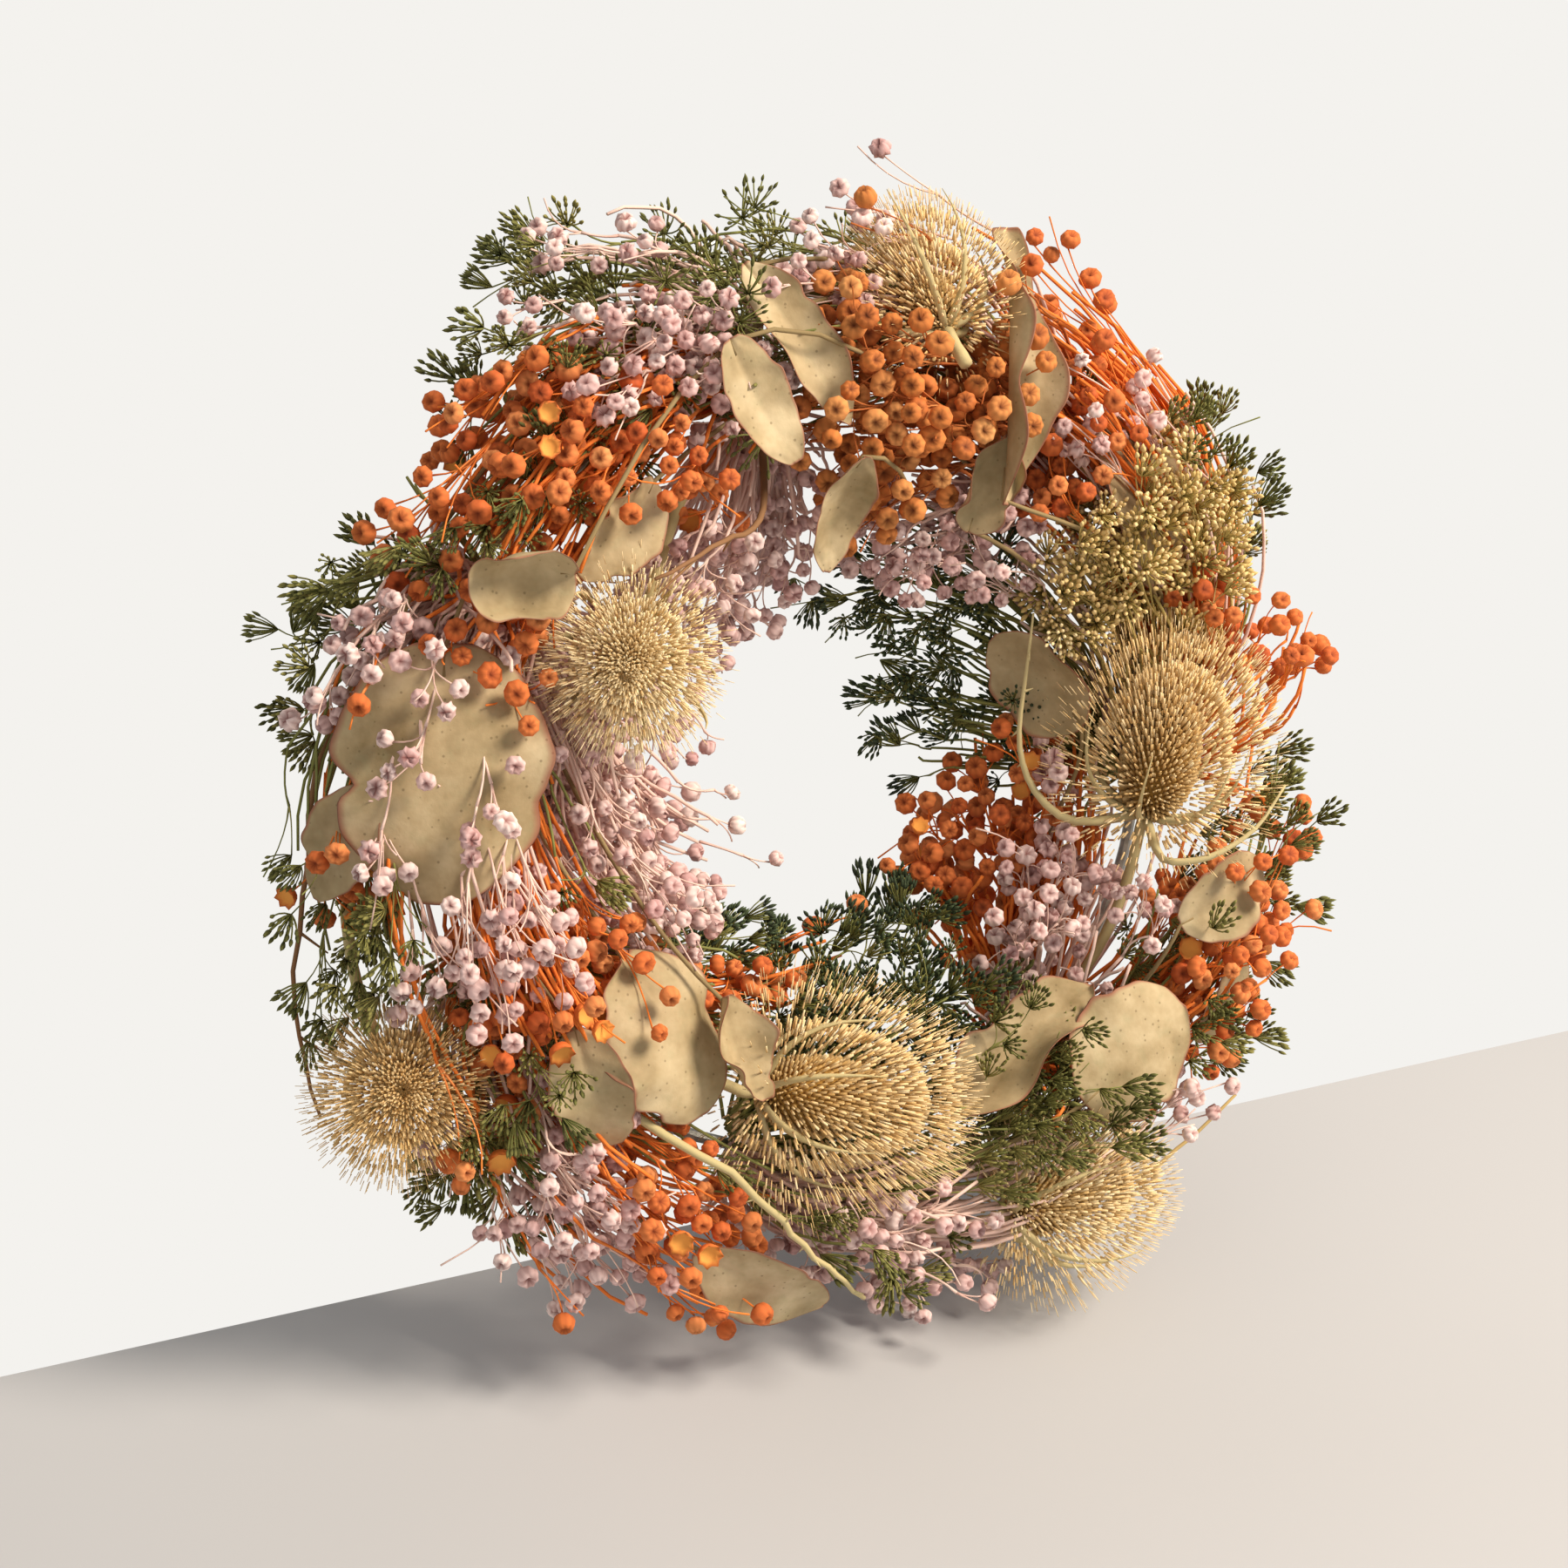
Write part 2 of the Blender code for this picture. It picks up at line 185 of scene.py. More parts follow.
def tubes(paths, radii, sides, tones, finish=0, beside=None):
    # closed round solids along many paths of equal point count; a coil needs a direction beside it
    paths = np.asarray(paths, float)
    count, steps = paths.shape[:2]
    radii = np.broadcast_to(radii, (count, steps))
    tangent = unit(np.gradient(paths, axis=1))
    whole = unit(paths[:, -1] - paths[:, 0])
    helper = np.where(np.abs(whole[:, 1:2]) > 0.8, np.array([1.0, 0, 0]), np.array([0, 1.0, 0]))
    if beside is not None:
        helper = np.broadcast_to(beside, whole.shape)
    side = unit(np.cross(tangent, helper[:, None]))
    other = np.cross(tangent, side)
    angle = np.arange(sides) * 2 * math.pi / sides
    ring = side[:, :, None] * np.cos(angle)[:, None] + other[:, :, None] * np.sin(angle)[:, None]
    verts = paths[:, :, None] + ring * radii[:, :, None, None]
    walls = []
    for step in range(steps - 1):
        for edge in range(sides):
            near, far = step * sides, step * sides + sides
            after = (edge + 1) % sides
            walls.append((near + edge, near + after, far + after, far + edge))
    caps = np.concatenate([np.arange(sides)[::-1], (steps - 1) * sides + np.arange(sides)])
    loop = np.concatenate([np.array(walls).ravel(), caps])
    corners = loop[None] + np.arange(count)[:, None] * steps * sides
    sizes = np.array([4] * len(walls) + [sides, sides])
    fold = np.repeat(np.linspace(0, 1, steps), sides)
    return {
        "verts": verts.reshape(-1, 3),
        "corners": corners.ravel(),
        "sizes": np.tile(sizes, count),
        "fold": np.tile(fold, count),
        "tone": np.repeat(tones, steps * sides),
        "finish": finish,
    }


def asShape(parts):
    # several parts as one shape that can be copied again
    base, corners = 0, []
    for part in parts:
        corners.append(part["corners"] + base)
        base += len(part["verts"])
    return {
        "verts": np.concatenate([part["verts"] for part in parts]),
        "corners": np.concatenate(corners),
        "sizes": np.concatenate([part["sizes"] for part in parts]),
        "fold": np.concatenate([part["fold"] for part in parts]),
    }


def addValues(mesh, name, values):
    mesh.attributes.new(name, "FLOAT", "POINT").data.foreach_set("value", values.astype(np.float32))


def makePiece(name, parts, finishes, node=None):
    whole = asShape(parts)
    mesh = bpy.data.meshes.new(name)
    mesh.vertices.add(len(whole["verts"]))
    mesh.vertices.foreach_set("co", whole["verts"].ravel())
    mesh.loops.add(len(whole["corners"]))
    mesh.loops.foreach_set("vertex_index", whole["corners"].astype(np.int32))
    starts = np.concatenate([[0], np.cumsum(whole["sizes"])[:-1]])
    mesh.polygons.add(len(starts))
    mesh.polygons.foreach_set("loop_start", starts.astype(np.int32))
    index = np.concatenate([np.full(len(part["sizes"]), part["finish"]) for part in parts])
    mesh.update(calc_edges=True)
    mesh.polygons.foreach_set("material_index", index.astype(np.int32))
    mesh.polygons.foreach_set("use_smooth", np.full(len(starts), True))
    tone = np.concatenate([part["tone"] for part in parts])
    addValues(mesh, "tone", tone)
    addValues(mesh, "fold", whole["fold"])
    # the baking map: tone across and fold up, with a column for each finish
    column = np.repeat(index, whole["sizes"])
    across = (column + 0.08 + 0.84 * tone[whole["corners"]]) / len(finishes)
    up = 0.04 + 0.92 * whole["fold"][whole["corners"]]
    layer = mesh.uv_layers.new(name="OFBake")
    layer.data.foreach_set("uv", np.stack([across, up], -1).ravel().astype(np.float32))
    for finish in finishes:
        mesh.materials.append(finish)
    mesh.validate()
    piece = bpy.data.objects.new(name, mesh)
    bpy.context.scene.collection.objects.link(piece)
    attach(piece, "wreath")
    if node:
        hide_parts(node)


def makeLoose(name, part, finish):
    # a piece with one finish and no baking map
    mesh = bpy.data.meshes.new(name)
    starts = np.concatenate([[0], np.cumsum(part["sizes"])[:-1]])
    faces = [part["corners"][start:start + size].tolist() for start, size in zip(starts, part["sizes"])]
    mesh.from_pydata(part["verts"].tolist(), [], faces)
    addValues(mesh, "tone", part["tone"])
    addValues(mesh, "fold", part["fold"])
    mesh.materials.append(finish)
    mesh.shade_smooth()
    item = bpy.data.objects.new(name, mesh)
    bpy.context.scene.collection.objects.link(item)
    return item


def linear(code):
    # sRGB hex to linear
    values = [int(code[i:i + 2], 16) / 255 for i in (1, 3, 5)]
    return tuple(v / 12.92 if v <= 0.04045 else ((v + 0.055) / 1.055) ** 2.4 for v in values) + (1.0,)


# a Mix node has sockets of the same name for each kind of data; these are the colour ones
mixAmount, mixFirst, mixSecond, mixResult = 0, 6, 7, 2


def addNode(tree, kind, inputs=None, **settings):
    node = tree.nodes.new(kind)
    for key, value in settings.items():
        setattr(node, key, value)
    for socket, value in (inputs or {}).items():
        if isinstance(value, bpy.types.NodeSocket):
            tree.links.new(value, node.inputs[socket])
        else:
            node.inputs[socket].default_value = value
    return node


def setRamp(node, stops):
    ramp = node.color_ramp
    while len(ramp.elements) < len(stops):
        ramp.elements.new(0.5)
    for element, (place, code) in zip(ramp.elements, stops):
        element.position = place
        element.color = linear(code)
    return node


def newMaterial(name, roughness, **sockets):
    material = bpy.data.materials.new(name)
    material.use_nodes = True
    shader = material.node_tree.nodes["Principled BSDF"]
    shader.inputs["Roughness"].default_value = roughness
    for socket, value in sockets.items():
        shader.inputs[socket].default_value = value
    return material, material.node_tree, shader


def driedPetal(name, tones, crease, grain=0.35):
    # dyed and dried flower tissue: papery and matt; on a head the crease colour, mixed in by fold, is
    # painted shade, dark down in its pleats and in its dimple
    material, tree, shader = newMaterial(name, 0.85, IOR=1.4)
    tone = addNode(tree, "ShaderNodeAttribute", attribute_name="tone")
    fold = addNode(tree, "ShaderNodeAttribute", attribute_name="fold")
    ramp = setRamp(addNode(tree, "ShaderNodeValToRGB", {"Fac": tone.outputs["Fac"]}), tones)
    # painted shade on a head: fold mixes in the crease colour in its pleats and dimple
    pleated = addNode(tree, "ShaderNodeMix", {
        mixAmount: fold.outputs["Fac"], mixFirst: ramp.outputs["Color"], mixSecond: linear(crease),
    }, data_type="RGBA")
    tree.links.new(pleated.outputs[mixResult], shader.inputs["Base Color"])
    rough = addNode(tree, "ShaderNodeMapRange", {
        "Value": tone.outputs["Fac"], "To Min": 0.72, "To Max": 0.95})
    tree.links.new(rough.outputs["Result"], shader.inputs["Roughness"])
    # wrinkles of about half a millimetre
    coords = addNode(tree, "ShaderNodeTexCoord")
    noise = addNode(tree, "ShaderNodeTexNoise", {
        "Vector": coords.outputs["Object"], "Scale": 1 / (0.5 * mm), "Detail": 2.0})
    bump = addNode(tree, "ShaderNodeBump", {
        "Height": noise.outputs["Fac"], "Strength": grain, "Distance": 0.15 * mm})
    tree.links.new(bump.outputs["Normal"], shader.inputs["Normal"])
    return material


def driedLeaf(name, tones, bloom, speck, edge):
    # preserved eucalyptus: waxy leaf gone matt, mottled olive tan with rusty margins and specks
    material, tree, shader = newMaterial(name, 0.7, IOR=1.42)
    place = addNode(tree, "ShaderNodeTexCoord").outputs["Object"]
    fold = addNode(tree, "ShaderNodeAttribute", attribute_name="fold")
    broad = addNode(tree, "ShaderNodeTexNoise", {
        "Vector": place, "Scale": 1 / (22 * mm), "Detail": 4.0, "Roughness": 0.6})
    ramp = setRamp(addNode(tree, "ShaderNodeValToRGB", {"Fac": broad.outputs["Fac"]}), tones)
    # bloom patches of a few millimetres
    patch = addNode(tree, "ShaderNodeTexNoise", {"Vector": place, "Scale": 1 / (5 * mm), "Detail": 3.0})
    patchAmount = addNode(tree, "ShaderNodeMapRange", {
        "Value": patch.outputs["Fac"], "From Min": 0.52, "From Max": 0.75, "To Max": 0.35})
    pale = addNode(tree, "ShaderNodeMix", {
        mixAmount: patchAmount.outputs["Result"], mixFirst: ramp.outputs["Color"],
        mixSecond: linear(bloom)}, data_type="RGBA")
    # fly-speck dots under a millimetre, a few millimetres apart
    specks = addNode(tree, "ShaderNodeTexVoronoi", {"Vector": place, "Scale": 1 / (3.2 * mm)})
    speckAmount = addNode(tree, "ShaderNodeMapRange", {
        "Value": specks.outputs["Distance"], "From Min": 0.10, "From Max": 0.16,
        "To Min": 0.55, "To Max": 0.0})
    dotted = addNode(tree, "ShaderNodeMix", {
        mixAmount: speckAmount.outputs["Result"], mixFirst: pale.outputs[mixResult],
        mixSecond: linear(speck)}, data_type="RGBA")
    margin = addNode(tree, "ShaderNodeMapRange", {
        "Value": fold.outputs["Fac"], "From Min": 0.90, "From Max": 1.0, "To Max": 0.75})
    rusty = addNode(tree, "ShaderNodeMix", {
        mixAmount: margin.outputs["Result"], mixFirst: dotted.outputs[mixResult],
        mixSecond: linear(edge)}, data_type="RGBA")
    tree.links.new(rusty.outputs[mixResult], shader.inputs["Base Color"])
    rough = addNode(tree, "ShaderNodeMapRange", {
        "Value": patch.outputs["Fac"], "To Min": 0.62, "To Max": 0.86})
    tree.links.new(rough.outputs["Result"], shader.inputs["Roughness"])
    # the skin's grain, about a millimetre
    fine = addNode(tree, "ShaderNodeTexNoise", {"Vector": place, "Scale": 1 / (1.2 * mm), "Detail": 3.0})
    bump = addNode(tree, "ShaderNodeBump", {
        "Height": fine.outputs["Fac"], "Strength": 0.4, "Distance": 0.2 * mm})
    tree.links.new(bump.outputs["Normal"], shader.inputs["Normal"])
    return material


def drawnWire(name, tones, metallic, roughness):
    # drawn wire, dulled in patches of about 3 mm
    material, tree, shader = newMaterial(name, roughness, Metallic=metallic)
    coords = addNode(tree, "ShaderNodeTexCoord")
    noise = addNode(tree, "ShaderNodeTexNoise", {
        "Vector": coords.outputs["Object"], "Scale": 1 / (3 * mm), "Detail": 4.0})
    ramp = setRamp(addNode(tree, "ShaderNodeValToRGB", {"Fac": noise.outputs["Fac"]}), tones)
    tree.links.new(ramp.outputs["Color"], shader.inputs["Base Color"])
    rough = addNode(tree, "ShaderNodeMapRange", {
        "Value": noise.outputs["Fac"], "To Min": roughness - 0.1, "To Max": roughness + 0.2})
    tree.links.new(rough.outputs["Result"], shader.inputs["Roughness"])
    bump = addNode(tree, "ShaderNodeBump", {
        "Height": noise.outputs["Fac"], "Strength": 0.3, "Distance": 0.1 * mm})
    tree.links.new(bump.outputs["Normal"], shader.inputs["Normal"])
    return material


# the crease colour of each dyed globe is painted shade for its pleats and dimple
orangePetal = driedPetal("orange_dyed_globe",
                         [(0.0, "#C75A28"), (0.5, "#DE7A3E"), (1.0, "#EC9E62")], "#7A3010")
terracottaPetal = driedPetal("terracotta_dyed_globe",
                             [(0.0, "#BC6630"), (0.5, "#D68240"), (1.0, "#E6A464")], "#642C10")
pinkPetal = driedPetal("pink_dyed_globe", [(0.0, "#D6ACAB"), (0.5, "#EFCFCB"), (1.0, "#FCEBE6")], "#86524E")
yellowPetal = driedPetal("yellow_opened_centre", [(0.0, "#D2602A"), (1.0, "#E98A3E")], "#EDAE55")
orangeStem = driedPetal("orange_dyed_stem",
                        [(0.0, "#B8501C"), (0.6, "#EA7A2C"), (1.0, "#F5A060")], "#F08436", 0.5)
terracottaStem = driedPetal("terracotta_dyed_stem",
                            [(0.0, "#8A4A22"), (0.6, "#B86A34"), (1.0, "#C98A50")], "#BF6A34", 0.5)
pinkStem = driedPetal("pink_dyed_stem",
                      [(0.0, "#B88C80"), (0.6, "#E2BEB2"), (1.0, "#F3E0D2")], "#EBCCC0", 0.5)
greenStem = driedPetal("green_dried_stem",
                       [(0.0, "#5E6434"), (0.6, "#878648"), (1.0, "#AAA262")], "#868A4E", 0.5)
greenBud = driedPetal("green_umbel_bud", [(0.0, "#545628"), (0.5, "#76763E"), (1.0, "#9E9656")], "#464A26")
# painted shade: a darker copy of the green bud finish, for the umbels on the inner side of the ring that sit
# in shade
shadedGreenBud = driedPetal("green_umbel_bud_painted_shade", [(0.0, "#323E2A"), (0.5, "#48573A"), (1.0, "#5F6E48")], "#2A3424")
goldBud = driedPetal("gold_umbel_bud", [(0.0, "#CDB26C"), (0.5, "#EFD498"), (1.0, "#FBEBBC")], "#D0B478")
goldStem = driedPetal("gold_umbel_stem",
                      [(0.0, "#9E8E4C"), (0.6, "#C6B26C"), (1.0, "#DCCA8E")], "#BCA968", 0.5)
spineStraw = driedPetal("teasel_spine_straw",
                        [(0.0, "#D2A660"), (0.5, "#EDC98C"), (1.0, "#F8E6BC")], "#A07A3A", 0.4)
coreBract = driedPetal("teasel_core_bract", [(0.0, "#96702E"), (1.0, "#C2954A")], "#8A6426", 0.6)
stemStraw = driedPetal("teasel_stem_straw", [(0.0, "#AC9C66"), (1.0, "#D2C496")], "#C4B484", 0.6)
leafOlive = driedLeaf("preserved_leaf", [(0.3, "#8A7752"), (0.5, "#AE9A75"), (0.7, "#CAB894")],
                      bloom="#9E9874", speck="#6B5B3C", edge="#92503F")
leafStalk = driedPetal("preserved_leaf_stalk", [(0.0, "#7A6A48"), (1.0, "#A08C64")], "#8E7A54", 0.6)
barkTwig = driedPetal("bare_twig_bark", [(0.0, "#6A4A30"), (1.0, "#A07A52")], "#8A6444", 0.8)
grassStraw = driedPetal("grass_straw", [(0.0, "#A8905A"), (1.0, "#C9B27C")], "#B89E66", 0.5)
steelWire = drawnWire("galvanised_steel_wire", [(0.3, "#8C8C88"), (0.7, "#B4B3AC")], 1.0, 0.4)
bindingWire = drawnWire("green_lacquered_wire", [(0.3, "#2E3A26"), (0.7, "#44523A")], 0.4, 0.45)
print("materials made")


def modelGlobe(dimple, pinch, ragged, seed):
    # a pleated ball: every other meridian drawn in, the crown pushed down
    deselectAll()
    meridians = 16
    bpy.ops.mesh.primitive_uv_sphere_add(segments=meridians, ring_count=6, radius=1.0)
    item = bpy.context.object
    bpy.ops.object.mode_set(mode="EDIT")
    wedge = 2 * math.pi / meridians

    def inValley(co):
        return co.xy.length > 0.1 and round(math.atan2(co.y, co.x) / wedge) % 2 == 0

    selectWhere(item, inValley)
    bpy.ops.transform.resize(value=(pinch, pinch, 0.97))
    selectWhere(item, lambda co: co.z > 0.99)
    bpy.ops.transform.translate(value=(0, 0, -dimple))
    selectWhere(item, lambda co: co.z > 0.7 and co.xy.length > 0.1)
    bpy.ops.transform.resize(value=(1.04, 1.04, 1))
    selectWhere(item, lambda co: co.z < -0.99)
    bpy.ops.transform.translate(value=(0, 0, 0.15))
    if ragged:
        bpy.ops.mesh.select_all(action="SELECT")
        bpy.ops.transform.vertex_random(offset=ragged, seed=seed)
    bpy.ops.object.mode_set(mode="OBJECT")

    def crease(v):
        # painted shade: dark inside the dimple and down in the valleys
        wide = math.hypot(v[0], v[1])
        inside = 1.0 if -0.1 < v[2] < 0.6 and wide < 0.3 else 0.0
        fullness = wide / max(math.sqrt(max(1 - min(v[2] ** 2, 0.99), 0.0)), 0.2)
        return max(inside, (1.0 - fullness) * 3.0 if v[2] < 0.95 else 0.0)

    return readShape(item, crease)


def modelOpened():
    # an opened head: a ragged cup with a sunken middle
    deselectAll()
    bpy.ops.mesh.primitive_uv_sphere_add(segments=14, ring_count=6, radius=1.0)
    item = bpy.context.object
    bpy.ops.object.mode_set(mode="EDIT")
    bpy.ops.mesh.select_all(action="SELECT")
    bpy.ops.mesh.bisect(plane_co=(0, 0, 0.35), plane_no=(0, 0, 1), use_fill=True, clear_outer=True)
    bpy.ops.mesh.inset(thickness=0.22)
    bpy.ops.transform.translate(value=(0, 0, -0.45))
    selectWhere(item, lambda co: co.z > 0.3 and round(math.atan2(co.y, co.x) * 7 / math.pi) % 2 == 0)
    bpy.ops.transform.resize(value=(1.25, 1.25, 1.0))
    bpy.ops.transform.translate(value=(0, 0, 0.22))
    bpy.ops.object.mode_set(mode="OBJECT")
    return readShape(item, lambda v: 0.8 if math.hypot(v[0], v[1]) < 0.72 and v[2] > -0.3 else 0.0)


def modelBud():
    # a small oval fruit at the end of a ray
    deselectAll()
    bpy.ops.mesh.primitive_uv_sphere_add(segments=5, ring_count=4, radius=1.0)
    item = bpy.context.object
    bpy.ops.object.mode_set(mode="EDIT")
    selectWhere(item, lambda co: co.z > 0.99)
    bpy.ops.transform.translate(value=(0, 0, 0.4))
    bpy.ops.object.mode_set(mode="OBJECT")
    return readShape(item, lambda v: 0.5 - 0.5 * v[2])


def modelSpine(hook):
    # a teasel bract: a wide foot, a long needle and sometimes a hooked tip, a unit long
    deselectAll()
    bpy.ops.mesh.primitive_cone_add(
        vertices=3, radius1=1.0, radius2=0.88, depth=0.12, location=(0, 0, 0.06))
    item = bpy.context.object
    bpy.ops.object.mode_set(mode="EDIT")
    # each length rises, shrinks and, on a hook, goes aside
    for rise, shrink, aside in [(0.38, 0.85, 0.5), (0.34, 0.72, 2.2), (0.20, 0.4, 5.5)]:
        form = bmesh.from_edit_mesh(item.data)
        highest = max(v.co.z for v in form.verts)
        selectWhere(item, lambda co: co.z > highest - 0.01 - 0.02 * hook)
        move = (aside * hook, 0, rise * (1 - 0.2 * hook))
        bpy.ops.mesh.extrude_region_move(TRANSFORM_OT_translate={"value": move})
        bpy.ops.transform.resize(value=(shrink, shrink, 1))
    bpy.ops.object.mode_set(mode="OBJECT")
    bpy.ops.object.transform_apply(location=True)
    return readShape(item, lambda v: 0.9 - 2.6 * v[2])


globes = [modelGlobe(0.8, 0.92, 0.0, 1), modelGlobe(0.75, 0.93, 0.05, 2), modelGlobe(0.7, 0.9, 0.04, 3)]
raggedGlobes = [modelGlobe(0.75, 0.88, 0.14, 4), modelGlobe(0.8, 0.84, 0.22, 5),
                modelGlobe(0.7, 0.9, 0.10, 6)]
openedHead = modelOpened()
bud = modelBud()
straightSpine = modelSpine(0.0)
hookedSpine = modelSpine(1.0)

umbels = {
    # how many rays and how far they spread in radians, then ray and bud sizes in mm
    "tuft": dict(rays=17, spread=0.6, length=9.5, thick=0.27, budLong=1.35, budWide=0.62),
    "dome": dict(rays=19, spread=0.8, length=9, thick=0.3, budLong=1.2, budWide=0.8),
    "star": dict(rays=14, spread=1.35, length=8.5, thick=0.3, budLong=1.2, budWide=0.6),
}


def modelUmbel(rays, spread, length, thick, budLong, budWide, seed):
    # rays fan out of one point, each with an oval bud; the umbel points along z
    dice = np.random.default_rng(seed)
    length, thick, budLong, budWide = length * mm, thick * mm, budLong * mm, budWide * mm
    angles = np.arange(rays) * goldenAngle + dice.normal(0, 0.2, rays)
    lean = np.sqrt((np.arange(rays) + 0.5) / rays) * spread * dice.uniform(0.85, 1.1, rays)
    long = length * dice.uniform(0.8, 1.08, rays)
    out = np.stack([np.cos(angles), np.sin(angles), np.zeros(rays)], -1)
    up = np.array([0, 0, 1.0])
    paths = []
    for part in np.linspace(0, 1, 4):
        bend = lean * (1.25 - 0.35 * part)
        paths.append((out * np.sin(bend)[:, None] + up * np.cos(bend)[:, None]) * (long * part)[:, None])
    paths = np.stack(paths, 1)
    tips = unit(paths[:, -1] - paths[:, -2])
    stalks = tubes(paths, thick, 3, np.zeros(rays))
    stalks["fold"] = stalks["fold"] * 0.3
    turns = turnsAlong(tips, dice.uniform(0, 6, rays))
    wide = np.full(rays, budWide)
    scales = np.stack([wide, wide, dice.uniform(0.8, 1.2, rays) * budLong], -1)
    buds = copies(bud, paths[:, -1] + tips * budLong * 0.7, turns, scales, np.zeros(rays))
    return asShape([stalks]), asShape([buds])


tufts = [modelUmbel(seed=seed, **umbels["tuft"]) for seed in (1, 2, 3)]
domes = [modelUmbel(seed=seed, **umbels["dome"]) for seed in (4, 5)]
stars = [modelUmbel(seed=seed, **umbels["star"]) for seed in (6, 7)]
print("repeated shapes modelled")


def makeThorn(root, widest, tone, finish=0):
    # a thorn that stands out any way from a stem
    tip = root + unit(rng.normal(0, 1, 3)) * 3.5 * mm
    path = root + (tip - root) * np.linspace(0, 1, 4)[:, None]
    return tubes(path[None], np.array([[widest, 0.5, 0.3, 0.1]]) * mm, 4, np.array([tone]), finish)


teasels = {
    # middle of the head (along, around, off in mm), the way it points, core length and radius,
    # spine length, share of hooked spines, and the places its longest bracts pass
    "teasel_1": dict(at=(77, 24, 56), points=(0.15, 1.0, -0.35), core=(28, 7), spine=27, hooked=0.0,
                     pale=0.15, sweep=1.3),
    "teasel_2": dict(at=(149, -31, 61), points=(0.31, 0.74, 0.56), core=(40, 8), spine=28, hooked=0.75,
                     pale=0.45, station=1, row=-25),
    "teasel_3": dict(at=(354, -25, 55), points=(1.0, 0.25, 0.35), core=(43, 11), spine=35, hooked=0.0,
                     pale=0.2, station=5, row=-25, sweep=1.5,
                     bracts=[[(337, -52, 66), (346, -64, 72), (1, -66, 75), (20, -58, 75), (35, -48, 72)],
                             [(334, -24, 71), (337, -13, 77), (343, -3, 80), (350, 3, 82)]]),
    "teasel_4": dict(at=(250, -27, 57), points=(1.0, 0.0, 0.25), core=(43, 11), spine=35, hooked=0.0,
                     pale=0.2, station=3, row=-25, sweep=1.5),
    "teasel_5": dict(at=(203, 64, 56), points=(-0.3, -0.77, 0.55), core=(34, 7), spine=26, hooked=0.2,
                     pale=0.1, station=2, row=72),
    "teasel_6": dict(at=(287, 32, 56), points=(1.0, 0.2, 0.15), core=(36, 9), spine=30, hooked=0.0,
                     pale=0.3, station=4, row=25, sweep=1.4),
}
spineCount = 1000
headSpaces = []  # middle, axis, half length and radius that flowers keep clear of


def eggWidth(t, radius):
    # half width of the core, from foot to tip
    return np.sin(np.pi * t ** 0.85) ** 0.62 * radius


def teaselSpines(base, axis, facing, length, radius, spine, hooked, pale, sweep):
    # spines follow a golden-angle spiral over the core
    number = np.arange(spineCount)
    t = (number + 0.5) / spineCount
    turn = number * goldenAngle
    around = np.stack([np.cos(turn), np.sin(turn), np.zeros(spineCount)], -1) @ facing.T
    out = eggWidth(t, radius)
    roots = base + axis * (length * t)[:, None] + around * (out * 0.93)[:, None]
    # they lean back at the foot, stand out in the middle and point on at the tip
    lean = np.interp(t, [0, 0.12, 0.5, 0.85, 1.0], [-0.45, 0.0, 0.75, 1.5, 4.0])
    heading = unit(around + axis * lean[:, None] * sweep + rng.normal(0, 0.025, (spineCount, 3)))
    size = spine * mm * rng.uniform(0.92, 1.06, spineCount)
    size = size * np.interp(t, [0, 0.15, 0.8, 1], [0.8, 1.0, 1.0, 0.7])
    thick = 0.58 * mm * rng.uniform(0.85, 1.15, spineCount)
    tones = np.clip(rng.normal(0.45 + pale, 0.16, spineCount), 0, 1)
    isHooked = rng.uniform(size=spineCount) < hooked
    turns = turnsAlong(heading, rng.uniform(0, 6.28, spineCount))
    scales = np.stack([thick, thick, size], -1)
    parts = []
    for shape, chosen in ((straightSpine, ~isHooked), (hookedSpine, isHooked)):
        if chosen.any():
            parts.append(copies(shape, roots[chosen], turns[chosen], scales[chosen], tones[chosen], 0))
    return parts


def teaselStem(base, axis, station, row):
    # from the tie to the foot of the head, or only a cut stub where the head isn't tied
    if station is None:
        path = base - axis * (np.linspace(0, 16, 5) * mm)[:, None]
        return tubes(path[None], np.array([[2.4, 2.2, 2.0, 2.3, 2.2]]) * mm, 9, np.array([0.6]), 2)
    along, around, off = placeOf(base - axis * 6 * mm)
    path = stemPath(station, row, (countedOn(station, along), around, off), 14)
    path = np.concatenate([path, base[None] + axis * 2 * mm])
    return tubes(path[None], np.full((1, 15), 1.9 * mm), 9, np.array([0.4]), 2)


def teaselBracts(base, axis, facing, radius):
    # long bracts curve up round the foot of the head
    parts = []
    count = 7
    width = np.array([1.5, 1.5, 1.3, 1.2, 1.0, 0.85, 0.6, 0.4, 0.15]) * mm
    s = np.linspace(0, 1, len(width))
    for index in range(count):
        turn = index * fullTurn / count + rng.uniform(-0.3, 0.3)
        side = math.cos(turn) * facing[:, 0] + math.sin(turn) * facing[:, 1]
        long = rng.uniform(30, 44) * mm
        rise = long * (0.15 * s + 0.75 * s ** 2)
        path = base + side * (radius * 0.35 + long * 0.62 * np.sin(s * 1.7))[:, None] + axis * rise[:, None]
        parts.append(tubes(path[None], width[None], 4, np.array([rng.uniform(0.3, 1)]), 2))
    return parts


def reachingBract(base, places):
    # a bract that reaches past the head, with a thorn here and there
    points = np.array([base] + [onRing(along, around, off * mm) for along, around, off in places])
    steps = 17
    s = np.linspace(0, len(points) - 1, steps)
    path = np.stack([np.interp(s, np.arange(len(points)), points[:, axis]) for axis in range(3)], -1)
    for smoothing in range(2):
        path[1:-1] = (path[:-2] + path[1:-1] * 2 + path[2:]) / 4
    parts = [tubes(path[None], np.linspace(1.8, 0.4, steps)[None] * mm, 5, np.array([0.8]), 2)]
    for step in range(2, steps - 2, 2):
        parts.append(makeThorn(path[step], 0.7, 0.9, 2))
    return parts


